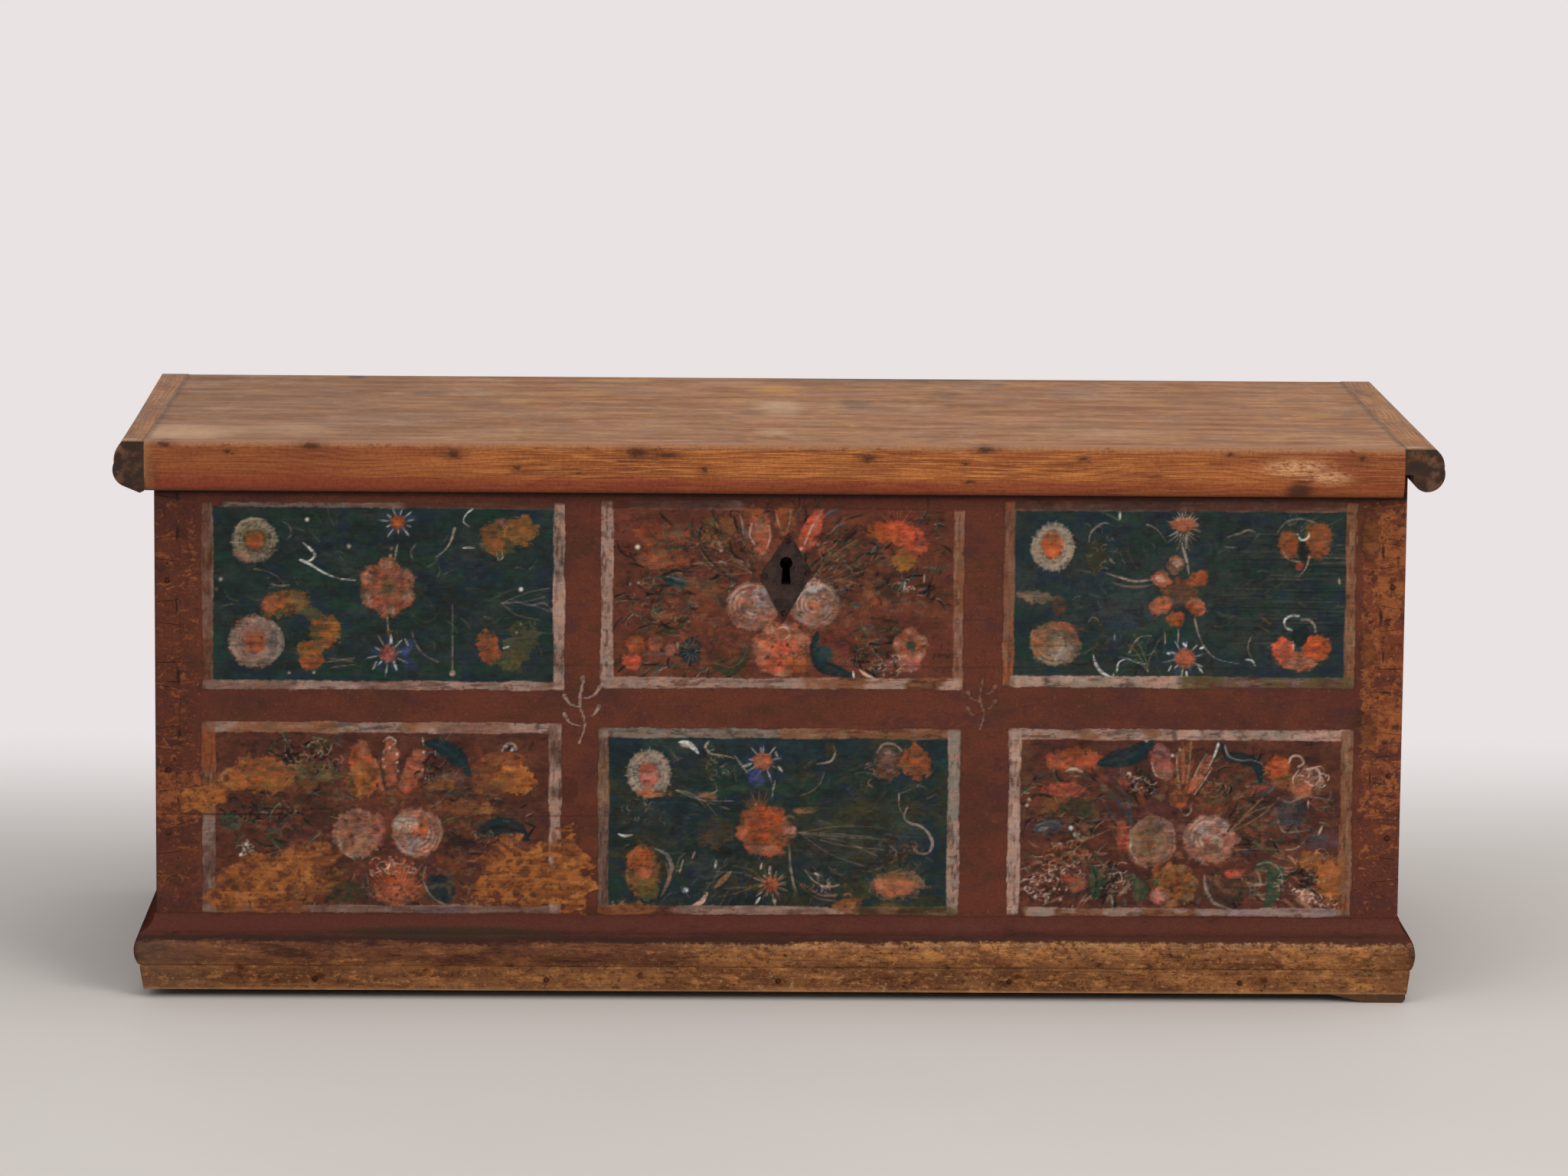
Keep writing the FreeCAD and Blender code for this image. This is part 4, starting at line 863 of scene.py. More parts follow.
def smudge(x, z, wide, tall, seed):
    # Smooth chance values from 0 to 1, one blotch for every wide x tall millimetres.
    if seed not in tables:
        tables[seed] = np.random.default_rng(seed).random((128, 128))
    table = tables[seed]
    u, v = x / wide + 640.0, z / tall + 640.0
    i, j = np.floor(u).astype(int), np.floor(v).astype(int)
    a, b = u - i, v - j
    a, b = a * a * (3 - 2 * a), b * b * (3 - 2 * b)
    i0, i1, j0, j1 = i % 128, (i + 1) % 128, j % 128, (j + 1) % 128
    low = table[j0, i0] * (1 - a) + table[j0, i1] * a
    high = table[j1, i0] * (1 - a) + table[j1, i1] * a
    return low * (1 - b) + high * b


def mottle(x, z, wide, tall, seed):
    return (0.52 * smudge(x, z, wide, tall, seed) + 0.3 * smudge(x, z, wide / 2.3, tall / 2.3, seed + 100)
            + 0.18 * smudge(x, z, wide / 5.1, tall / 5.1, seed + 200))


def rise(value, low, high):
    t = np.clip((value - low) / (high - low), 0.0, 1.0)
    return t * t * (3 - 2 * t)


def makeCanvas(xs, zs, middle):
    xs, zs = xs - middle[0], zs - middle[1]
    x, z = np.meshgrid(xs, zs)
    return {"xs": xs, "zs": zs, "x": x, "z": z, "middle": middle, "colour": np.zeros(x.shape + (3,)),
            "cover": np.zeros(x.shape), "height": np.zeros(x.shape)}


def near(canvas, x0, x1, z0, z1):
    i0, i1 = np.searchsorted(canvas["xs"], (x0, x1))
    j0, j1 = np.searchsorted(canvas["zs"], (z0, z1))
    cut = (slice(j0, j1), slice(i0, i1))
    return cut, canvas["x"][cut], canvas["z"][cut]


def tintOf(colour):
    return np.array(paints[colour] if isinstance(colour, str) else colour, float)


def lay(canvas, cut, amount, colour, height=0.0):
    amount = np.clip(amount, 0.0, 1.0)
    canvas["colour"][cut] += amount[..., None] * (tintOf(colour) / 255.0 - canvas["colour"][cut])
    canvas["cover"][cut] = np.maximum(canvas["cover"][cut], amount)
    canvas["height"][cut] += amount * height


def nextTurn():
    turns[0] += 1
    return turns[0] % 40


liveliness = {"light": 0.6, "warm": 0.12, "grain": (7.5, 5.0)}
# White lines are drawn with a thinner brush than the leaves
slimmer = {"white": 0.58, "cream": 0.66, "pinkWhite": 0.7, "greyWhite": 0.75, "stone": 0.7}


def lively(px, pz, colour, seed, amount=1.0):
    # No touch of old paint is one flat colour: lighter, darker, warmer and greener from place to place.
    wide, tall = liveliness["grain"]
    light = 1 + amount * liveliness["light"] * (mottle(px, pz, wide, tall, seed + 3) - 0.5)
    warm = amount * liveliness["warm"] * 2 * (smudge(px, pz, 6.5, 5.0, seed + 9) - 0.5)
    shift = np.stack((1 + warm, 1 - warm * 0.3, 1 - warm), -1)
    return tintOf(colour) * light[..., None] * shift


def dab(canvas, x, z, rx, rz, colour, turn=0.0, strength=0.95, ragged=0.28, streak=0.25, height=0.03):
    # One loaded touch of the brush: an oval with a ragged edge and bristle streaks along it.
    far = max(rx, rz) * 1.5 + 1
    cut, px, pz = near(canvas, x - far, x + far, z - far, z + far)
    if px.size == 0:
        return
    seed = nextTurn()
    c, s = math.cos(math.radians(turn)), math.sin(math.radians(turn))
    u = ((px - x) * c + (pz - z) * s) / rx
    v = ((pz - z) * c - (px - x) * s) / rz
    edge = (np.hypot(u, v) - 1) * min(rx, rz)
    edge += ragged * min(rx, rz) * 2 * (mottle(px, pz, 4.5, 3.5, seed) - 0.5)
    bristle = smudge(u * rx, v * rz, 9.0, 1.3, seed + 40)
    amount = strength * rise(-edge, -0.9, 1.6) * (1 - streak * bristle)
    lay(canvas, cut, amount, lively(px, pz, colour, seed), height)


def curve(points, step=1.4):
    # A smooth line through the points.
    p = np.array([points[0]] + list(points) + [points[-1]], float)
    found = []
    for i in range(1, len(p) - 2):
        n = max(2, int(np.hypot(*(p[i + 1] - p[i])) / step))
        for t in np.linspace(0, 1, n, endpoint=False):
            found.append(0.5 * (2 * p[i] + (p[i + 1] - p[i - 1]) * t
                                + (2 * p[i - 1] - 5 * p[i] + 4 * p[i + 1] - p[i + 2]) * t * t
                                + (3 * p[i] - p[i - 1] - 3 * p[i + 1] + p[i + 2]) * t ** 3))
    found.append(p[-2])
    return np.array(found)


def stroke(canvas, points, wide, colour, strength=0.95, shape="leaf", height=0.08, ragged=0.3):
    # comma: a round head that draws out to a thin tail; leaf: thin at both ends; line: even.
    path = curve(points)
    wide = max(wide * slimmer.get(colour, 1.0), min(wide, 1.5))
    far = wide * 0.5 + 1.6
    low, high = path.min(0) - far, path.max(0) + far
    cut, px, pz = near(canvas, low[0], high[0], low[1], high[1])
    if px.size == 0:
        return
    seed = nextTurn()
    best = np.full(px.shape, 1e9)
    share = np.zeros(px.shape)
    n = len(path) - 1
    for i in range(n):
        ax, az = path[i]
        dx, dz = path[i + 1] - path[i]
        t = np.clip(((px - ax) * dx + (pz - az) * dz) / max(dx * dx + dz * dz, 1e-9), 0, 1)
        d = np.hypot(px - ax - t * dx, pz - az - t * dz)
        closer = d < best
        best[closer] = d[closer]
        share[closer] = ((i + t) / n)[closer]
    if shape == "comma":
        half = wide / 2 * (1 - 0.78 * share ** 0.8) * rise(share, -0.06, 0.06)
    elif shape == "leaf":
        half = wide / 2 * np.sin(np.pi * np.clip(share * 0.94 + 0.04, 0, 1)) ** 0.8
    else:
        half = wide / 2 * (0.8 + 0.4 * smudge(share * 60, share, 6, 6, seed))
    half = half * (1 + ragged * (smudge(px, pz, 3.0, 3.0, seed) - 0.5))
    dry = 1 - 0.35 * rise(smudge(px, pz, 5.0, 2.0, seed + 20), 0.55, 0.9)
    lay(canvas, cut, strength * dry * rise(half - best, -0.55, 0.65), colour, height)


def dots(canvas, places, size, colour, strength=0.9):
    for x, z in places:
        dab(canvas, x, z, size * 0.86, size * 0.9, colour, 0, min(1.0, strength + 0.1), 0.2, 0.0, 0.1)


def away(x, z, far, turn, tall=1.0):
    # The point that lies so far from x, z in the direction turn, on an oval if tall isn't 1.
    return x + far * math.cos(turn), z + far * tall * math.sin(turn)


def hairs(canvas, start, ends, colour, wide=1.0, bow=4.0, strength=0.5):
    # Fine lines that spread from one place, each a little bowed.
    for i, end in enumerate(ends):
        middle = ((start[0] + end[0]) / 2 + bow * math.sin(i * 2.4),
                  (start[1] + end[1]) / 2 + bow * math.cos(i * 1.9))
        stroke(canvas, (start, middle, end), wide, colour, strength, "line", 0.03)


def fan(canvas, x, z, reach, first, last, count, colour, wide=1.0, strength=0.5, start=0.25):
    # Straight bristles between two directions, in degrees.
    for i in range(count):
        a = math.radians(first + (last - first) * i / max(count - 1, 1))
        r = reach * (0.8 + 0.2 * math.sin(i * 2.7))
        stroke(canvas, (away(x, z, start * r, a), away(x, z, r, a)), wide, colour, strength, "comma", 0.04)


def scratches(canvas, x0, x1, z0, z1, count, colour, wide=0.9, strength=0.4):
    # Nearly level scratches and dry brush lines in a patch.
    rng = np.random.default_rng(int(abs(x0 * 7 + z0 * 13)) + count)
    for _ in range(count):
        x, z = rng.uniform(x0, x1), rng.uniform(z0, z1)
        length = rng.uniform(0.25, 0.8) * (x1 - x0)
        end = (min(x + length, x1 + 6), z + rng.uniform(-1.6, 1.6))
        stroke(canvas, ((x, z), end), wide, colour, strength * rng.uniform(0.5, 1.0), "line", 0.02)


def squiggles(canvas, x, z, rx, rz, count, colour, wide=1.5, strength=0.8):
    # Small loose curls, as the brush leaves in worn leaf work.
    rng = np.random.default_rng(int(abs(x * 11 + z * 5)) + count)
    for _ in range(count):
        a, r = rng.uniform(0, 6.28), rng.uniform(0, 1) ** 0.5
        cx, cz = x + rx * r * math.cos(a), z + rz * r * math.sin(a)
        size, bend, first = rng.uniform(2.0, 5.5), rng.choice((-1, 1)), rng.uniform(0, 6.28)
        points = [away(cx, cz, size, first + bend * t, 0.8) for t in (0.0, 0.8, 1.6, 2.6)]
        stroke(canvas, points, wide + 0.9, colour, min(1.0, strength * rng.uniform(0.9, 1.5)), "comma", 0.04)


def tangle(canvas, x, z, rx, rz, count, colours, wide=2.6, strength=0.9, heart=(0.0, -5.0)):
    # Leaf strokes that sweep out from the middle of the posy, each with a thin light line beside it.
    rng = np.random.default_rng(int(abs(x * 3 + z * 17)) + count)
    for i in range(count):
        a, r = rng.uniform(0, 6.28), rng.uniform(0, 1) ** 0.5
        points = [(x + rx * r * math.cos(a), z + rz * r * math.sin(a))]
        heading = math.atan2(points[0][1] - heart[1], points[0][0] - heart[0]) + rng.uniform(-0.5, 0.5)
        length, bend = rng.uniform(6.0, 22.0), rng.uniform(-1.5, 1.5)
        for k in (1, 2, 3):
            points.append(away(*points[-1], length / 3, heading + bend * k / 3))
        thick = wide * rng.uniform(0.6, 1.4)
        dark, light = (tints[i % len(tints)] for tints in colours)
        stroke(canvas, points, thick, dark, strength * rng.uniform(0.6, 1.0), "leaf", 0.03)
        if i % 2:
            beside = [(px - 0.55 * thick * math.sin(heading), pz + 0.55 * thick * math.cos(heading))
                      for px, pz in points]
            stroke(canvas, beside, 1.5, light, strength * rng.uniform(0.4, 0.9), "comma", 0.05)


def petalFlower(canvas, x, z, r, count, petal, light, heart, turn=0.0, plump=0.42):
    for i in range(count):
        a = math.radians(turn + 360.0 * i / count)
        dab(canvas, *away(x, z, 0.6 * r, a), r * 0.44, r * plump, petal, math.degrees(a), 0.95, 0.3, 0.3)
        dab(canvas, *away(x, z, 0.78 * r, a + 0.1), r * 0.17, r * 0.24, light, math.degrees(a), 0.6, 0.5, 0.5)
        fold = (away(x, z, 0.3 * r, a - 0.35), away(x, z, 0.85 * r, a - 0.42))
        stroke(canvas, fold, 1.1, "umber", 0.45, "comma", 0.0)
    dab(canvas, x, z, r * 0.3, r * 0.3, heart, 20, 0.85, 0.5, 0.4)


def ringFlower(canvas, x, z, r, ring, field, heart, tall=1.0, rays=34):
    dab(canvas, x, z, r * 0.92, r * 0.92 * tall, field, 0, 0.8, 0.12, 0.3, 0.02)
    for size, wide, strength in ((0.9, 0.2, 0.45), (0.74, 0.24, 0.65), (0.56, 0.16, 0.4)):
        around = [away(x, z, size * r, 2 * math.pi * k / 12, tall) for k in range(13)]
        stroke(canvas, around, r * wide, ring, strength, "line", 0.03, 0.9)
    for i in range(rays):
        a = 2 * math.pi * i / rays + 0.13 * math.sin(i * 3.1)
        inner, outer = 0.5 + 0.08 * math.sin(i * 1.7), 0.99 + 0.06 * math.sin(i * 2.3)
        stroke(canvas, (away(x, z, outer * r, a, tall), away(x, z, inner * r, a + 0.12, tall)),
               1.9, ring, 0.4 + 0.4 * math.sin(i * 1.3 + x) ** 2, "comma", 0.05)
    dab(canvas, x, z, r * 0.4, r * 0.42 * tall, heart, 15, 0.85, 0.45, 0.4)


def rose(canvas, x, z, r, base, light, shade, heart, tilt=0.0, tall=1.0):
    dab(canvas, x, z, r, r * tall, base, 0, 0.88, 0.14, 0.25, 0.03)
    for j, size in enumerate((0.86, 0.68, 0.5, 0.34)):
        petals = ((light, tilt + 40 * j, 150, 0.15), (shade, tilt + 190 + 55 * j, 120, 0.07))
        for tint, first, sweep, wide in petals:
            points = [away(x, z, size * r, math.radians(first + sweep * k / 4), tall) for k in range(5)]
            stroke(canvas, points, r * wide, tint, 0.62, "leaf", 0.05)
    dab(canvas, x, z, r * 0.2, r * 0.2 * tall, heart, 0, 0.8, 0.4, 0.3)


def starFlower(canvas, x, z, r, core, light, ray="white", glow="blue", rays=11, tall=1.0):
    for i in range(5):
        a = math.radians(-60 + 75 * i)
        middle = away(x, z, 0.6 * r, a, tall)
        dab(canvas, *middle, r * 0.34, r * 0.2, glow, math.degrees(a), 0.5, 0.6, 0.5, 0.0)
    for i in range(rays):
        a = 2 * math.pi * (i + 0.3) / rays
        reach = r * (0.86 + 0.18 * math.sin(i * 2.9))
        stroke(canvas, (away(x, z, 0.42 * r, a, tall), away(x, z, reach, a, tall)),
               r * 0.13, ray, 0.55 + 0.35 * math.sin(i * 1.9) ** 2, "leaf", 0.07)
    for i in range(7):
        a = 2 * math.pi * i / 7
        middle = away(x, z, 0.26 * r, a, tall)
        dab(canvas, *middle, r * 0.2, r * 0.15, core, math.degrees(a), 0.9, 0.3, 0.2)
    dab(canvas, x, z, r * 0.26, r * 0.24 * tall, core, 0, 0.9, 0.3, 0.2)
    dab(canvas, x - 1, z + 1, r * 0.12, r * 0.1, light, 0, 0.6, 0.4, 0.2)


def leaf(canvas, points, wide, colour, edge=None, vein=None):
    stroke(canvas, points, wide, colour, 0.9, "leaf", 0.04)
    if vein:
        stroke(canvas, points, wide * 0.22, vein, 0.55, "leaf", 0.03)
    if edge:
        moved = [(x + wide * 0.16, z + wide * 0.34) for x, z in points]
        stroke(canvas, moved, 1.5, edge, 0.65, "comma", 0.07)


def woodRub(canvas, x, z, rx, rz, amount=0.8, seed=7):
    # The paint rubbed through to orange-brown pine, with grain lines and dark pores.
    cut, px, pz = near(canvas, x - rx * 1.3, x + rx * 1.3, z - rz * 1.3, z + rz * 1.3)
    if px.size == 0:
        return
    wx, wz = px + canvas["middle"][0], pz + canvas["middle"][1]
    inside = 1 - np.hypot((px - x) / rx, (pz - z) / rz)
    level = inside * 1.3 + 1.5 * (mottle(wx, wz, 20.0, 12.0, seed) - 0.5)
    level += 0.6 * (mottle(wx, wz, 4.6, 3.4, seed + 1) - 0.5)
    share = amount * rise(level, 0.02, 0.36)
    grainLines = 0.25 * smudge(wx, wz, 26.0, 1.5, seed + 2) + 0.75 * mottle(wx, wz, 12.0, 7.0, seed + 4)
    pores = mottle(wx, wz, 9.0, 6.5, seed + 3)
    specks = mottle(wx, wz, 4.0, 3.2, seed + 6)
    wood = tintOf("woodDark")
    layers = ((grainLines, 0.25, 0.7, "wood", 1.0), (pores, 0.58, 0.74, "woodLight", 0.7),
              (pores, 0.42, 0.26, "woodRed", 0.8), (specks, 0.38, 0.26, "umber", 0.6))
    for where, low, high, tint, most in layers:
        wood = wood + rise(where, low, high)[..., None] * (tintOf(tint) - wood) * most
    canvas["colour"][cut] += share[..., None] * (wood / 255.0 - canvas["colour"][cut])
    canvas["cover"][cut] = np.maximum(canvas["cover"][cut], share)
    canvas["height"][cut] -= share * 0.05


def field(canvas, inner, colours, seed):
    # The panel's own ground, in patches, with level brush marks.
    x0, x1, z0, z1 = inner
    cut, px, pz = near(canvas, x0 - 3, x1 + 3, z0 - 3, z1 + 3)
    edge = np.minimum(np.minimum(px - x0, x1 - px), np.minimum(pz - z0, z1 - pz))
    share = rise(edge + 1.6 * (smudge(px, pz, 7.0, 7.0, seed) - 0.5), -1.8, -0.4)
    lay(canvas, cut, share, colours[0])
    for i, colour in enumerate(colours[1:]):
        patch = mottle(px, pz, 44.0 - 6 * i, 24.0 - 3 * i, seed + 3 * i)
        lay(canvas, cut, share * rise(patch, 0.5, 0.72) * 0.6, colour)
        level = mottle(px, pz, 22.0, 3.8, seed + 50 + i)
        lay(canvas, cut, share * rise(level, 0.56, 0.74) * 0.2, colour)


def band(canvas, side, outer, inner, span, colours, strength=0.85):
    # One painted border band; span is its start and end as shares of the side.
    edges = list(outer)
    # The band reaches from the outer edge on its own side to the inner edge of that side.
    own = ("left", "right", "bottom", "top").index(side)
    edges[own ^ 1] = inner[own]
    x0, x1, z0, z1 = edges
    cut, px, pz = near(canvas, x0 - 2, x1 + 2, z0 - 2, z1 + 2)
    seed = nextTurn()
    upright = own < 2
    along, start, end = (pz, z0, z1) if upright else (px, x0, x1)
    across, low, high = (px, x0, x1) if upright else (pz, z0, z1)
    where = (along - start) / (end - start)
    wander = 1.6 * (smudge(along, along * 0, 26.0, 9.0, seed) - 0.5)
    ragged = 1.8 * (mottle(px, pz, 4.0, 4.0, seed + 5) - 0.5)
    edge = np.minimum(across - low, high - across) + wander + ragged
    share = strength * rise(edge, -0.6, 0.9) * rise(where, span[0] - 0.01, span[0] + 0.02)
    share = share * rise(-where, -span[1] - 0.01, -span[1] + 0.02)
    dry = mottle(px, pz, *((2.6, 14.0) if upright else (14.0, 2.6)), seed + 9)
    share = share * (1 - 0.3 * rise(dry, 0.54, 0.74))
    share = share * (1 - 0.22 * rise(mottle(px, pz, 5.0, 4.4, seed + 13), 0.6, 0.74))
    lay(canvas, cut, share, lively(px, pz, colours[0], seed, 0.5), 0.07)
    if len(colours) > 1:
        second = share * rise(mottle(px, pz, 34.0, 34.0, seed + 11), 0.44, 0.6)
        lay(canvas, cut, second, lively(px, pz, colours[1], seed + 2, 0.5))
    lay(canvas, cut, share * 0.4 * rise(dry, 0.4, 0.25), "cream", 0.05)


def rubbed(canvas, inner, seed, ground, specks, force):
    # Handling has thinned the whole panel a little, and old dirt and varnish mottle it all over.
    cut, px, pz = near(canvas, *inner)
    lay(canvas, cut, 0.3 * rise(mottle(px, pz, 14.0, 3.4, seed), 0.6, 0.76), ground)
    lay(canvas, cut, 0.36 * rise(mottle(px, pz, 6.0, 4.4, seed + 4), 0.64, 0.78), "dark")
    posy = 0.25 + 0.75 * rise(np.hypot(px / 150.0, (pz + 8.0) / 84.0), 1.0, 0.66)
    for i, speck in enumerate(specks):
        there = rise(mottle(px, pz, 9.0, 7.0, seed + 7 * i + 11), 0.58, 0.74)
        lay(canvas, cut, 0.42 * force * posy * there, speck)
    light = 0.34 * (mottle(px, pz, 4.4, 3.8, seed + 5) - 0.5)
    light += 0.45 * (mottle(px, pz, 24.0, 14.0, seed + 6) - 0.5)
    canvas["colour"][cut] *= (1 + force * light)[..., None]


def freshened(canvas, inner, ground, boost):
    # Light touches stand out from the ground and dark ones sink into it.
    cut = near(canvas, *inner)[0]
    pivot = tintOf(ground) / 255.0
    canvas["colour"][cut] = np.clip(pivot + boost * (canvas["colour"][cut] - pivot), 0.035, 0.86)


# Colours that take turns in the fine leaf work
leafWork = (("umber", "dark", "oliveDark", "leaf", "dark", "slate"),
            ("tan", "dusty", "cream", "olive", "tan"))
berryWork = (("umber", "brownRed", "dark", "rose", "oliveDark"), ("pinkWhite", "cream", "lilac", "rose"))
vineWork = (("greenDark", "leaf", "dark", "greenGrey"), ("slate", "stone", "greyWhite", "olive"))

# Each panel's layout and grounds, then its brushes with their touches, in the order they are laid
panels, brushwork = {}, {}

panels["top_left"] = {
    "middle": (-369.5, 386.5), "outer": (-171, 169.5, -93.5, 85), "inner": (-160, 158.5, -84.5, 79),
    "ground": ("green", "greenDark", "greenBlue", "greenBright", "greenGrey", "blueDark"),
    "bands": (("left", (0, 1), ("tanOrange", "dusty"), 0.75),
              ("top", (0.05, 0.56), ("greyWhite", "dusty"), 0.8),
              ("top", (0.5, 1), ("dusty", "brown"), 0.5), ("right", (0, 1), ("stone", "pinkWhite"), 0.9),
              ("bottom", (0, 1), ("pinkWhite", "dusty"), 0.9)),
}
brushwork["top_left"] = (
    (tangle, (60, -10, 60, 60, 60, vineWork, 2, 0.45), (-60, 30, 60, 40, 40, vineWork, 2, 0.45),
     (-100, -20, 50, 50, 30, vineWork, 2, 0.45), (122, -20, 34, 50, 40, vineWork, 2, 0.45)),
    (ringFlower, (-121, 48, 22.5, "greyWhite", "olive", "orange", 0.95)),
    (dab, (-133, 33, 10, 5, "rose", -30, 0.6)),
    (stroke, (((-139, 52), (-136, 62), (-126, 68), (-112, 68)), 4.5, "cream", 0.6)),
    (dab, (-92, -12, 23, 12, "ochre", 20, 0.85, 0.4), (-104, -10, 12, 9, "orange", 30, 0.8, 0.4),
     (-68, -20, 10, 7, "olive", -20, 0.8, 0.4), (-55, -38, 15, 17, "amber", 0, 0.9, 0.3, 0.5),
     (-70, -55, 12, 9, "amber", 0, 0.85, 0.35), (-68, -66, 12, 9, "orange", 0, 0.9, 0.35),
     (-121, -47, 28, 25, "oliveDark", 0, 0.5, 0.5)),
    (rose, (-121, -48, 25, "rose", "cream", "coral", "ochre", 120)),
    (ringFlower, (-121, -48, 25, "greyWhite", "rose", "orange", 0.98, 22)),
    (dab, (-121, -48, 25, 23, "greenDark", 0, 0.24, 0.6, 0.7)),
    (stroke, (((-106, -28), (-98, -40), (-98, -56), (-110, -70)), 9, "greyWhite", 0.6)),
    (dab, (-104, -50, 5, 14, "teal", 0, 0.5, 0.5)),
    (petalFlower, (3, 4, 27, 6, "salmon", "pinkWhite", "olive", 28, 0.46)),
    (dab, (3, 4, 27, 27, "umber", 0, 0.26, 0.6, 0.6)),
    (starFlower, (13, 66, 19, "orange", "bright", "white", "blue", 11, 0.85),
     (4, -59, 21, "pink", "coral", "white", "blue", 10)),
    (dab, (22, -53, 4, 12, "blue", -25, 0.8), (24, -70, 7, 9, "blue", 30, 0.7)),
    (stroke, (((-7, -66), (-11, -74)), 4, "white"), (((9, -66), (12, -75)), 3.5, "white"),
     (((6, -40), (7, -50)), 4, "white"), (((19, -44), (23, -52)), 2.5, "greyWhite"),
     (((10, 30), (11, 38), (13, 46)), 3, "greyWhite")),
    (dots, (((7, 41), (6, 34)), 2.2, "lilac")),
    (stroke, (((3, -24), (4, -42)), 2, "stone", 0.8, "line")),
    (dab, (5, -38, 4, 2, "ochre")),
    (stroke, (((-76, 46), (-70, 41), (-65, 35), (-68, 30), (-74, 28)), 4.6, "white", 1),
     (((-79, 30), (-70, 26), (-55, 17), (-40, 12), (-27, 11)), 5, "white", 0.95, "comma")),
    (dots, (((-33, 43), (-153, 11), (-157, 2)), 2.4, "greyWhite"), (((-72, 68), (128, 3)), 2.6, "white")),
    (stroke, (((-95, 66), (-89, 62), (-87, 54), (-92, 48)), 2.6, "greyWhite", 0.5),
     (((-122, 21), (-108, 18), (-98, 12), (-92, 4)), 2.2, "stone", 0.6, "comma"),
     (((-106, 7), (-98, 5), (-88, 6)), 2.6, "greyWhite", 0.8)),
    (dab, (107, 51, 17, 17, "olive", 40, 0.75, 0.45), (102, 50, 10, 15, "orange", 20, 0.6, 0.5),
     (128, 59, 16, 14, "ochre", 0, 0.85, 0.4), (109, 66, 6, 5, "pink", 0, 0.7)),
    (stroke, (((105, 38), (107, 31), (111, 33), (110, 39)), 2.4, "cream", 0.8),
     (((83, 79), (77, 74), (74, 67), (80, 62)), 3.6, "white", 0.95, "comma"),
     (((66, 61), (63, 50), (57, 40), (47, 32)), 4, "greyWhite", 0.9, "comma"),
     (((27, 30), (25, 38), (30, 46)), 2.4, "lilac", 0.5), (((73, 42), (85, 42)), 3.2, "white", 0.9),
     (((64, -12), (64, -44), (64, -74)), 1.4, "stone", 0.55, "line")),
    (dots, (((64, -77),), 3.4, "cream")),
    (dab, (128, -48, 14, 22, "olive", -20, 0.6, 0.6), (118, -64, 16, 9, "olive", 10, 0.6, 0.6),
     (98, -52, 11, 16, "orange", 10, 0.9, 0.4)),
    (stroke, (((111, -53), (118, -51)), 4, "white", 0.9)),
    (dots, (((124, -38), (128, -30)), 1.3, "cream")),
    (stroke, (((26, -38), (30, -50), (38, -60), (50, -66)), 1.6, "stone", 0.5, "line")),
    (hairs, ((110, -10), ((156, -18), (150, -4), (146, -26), (154, 4)), "stone", 1.1, 4, 0.4)),
    (stroke, (((118, -6), (136, -12), (150, -10), (159, -20)), 1.6, "greyWhite", 0.5, "line")),
    (dots, (((-89, -77), (-66, -77)), 1.8, "cream")),
    (stroke, (((-54, -63), (-30, -66)), 1.6, "rose", 0.6, "line"),
     (((-54, -67), (-28, -63)), 1.2, "cream", 0.5, "line"),
     (((-50, -72), (-26, -69)), 1.2, "rose", 0.95, "comma")),
    (squiggles, (-95, 45, 16, 26, 9, "greenGrey")),
)

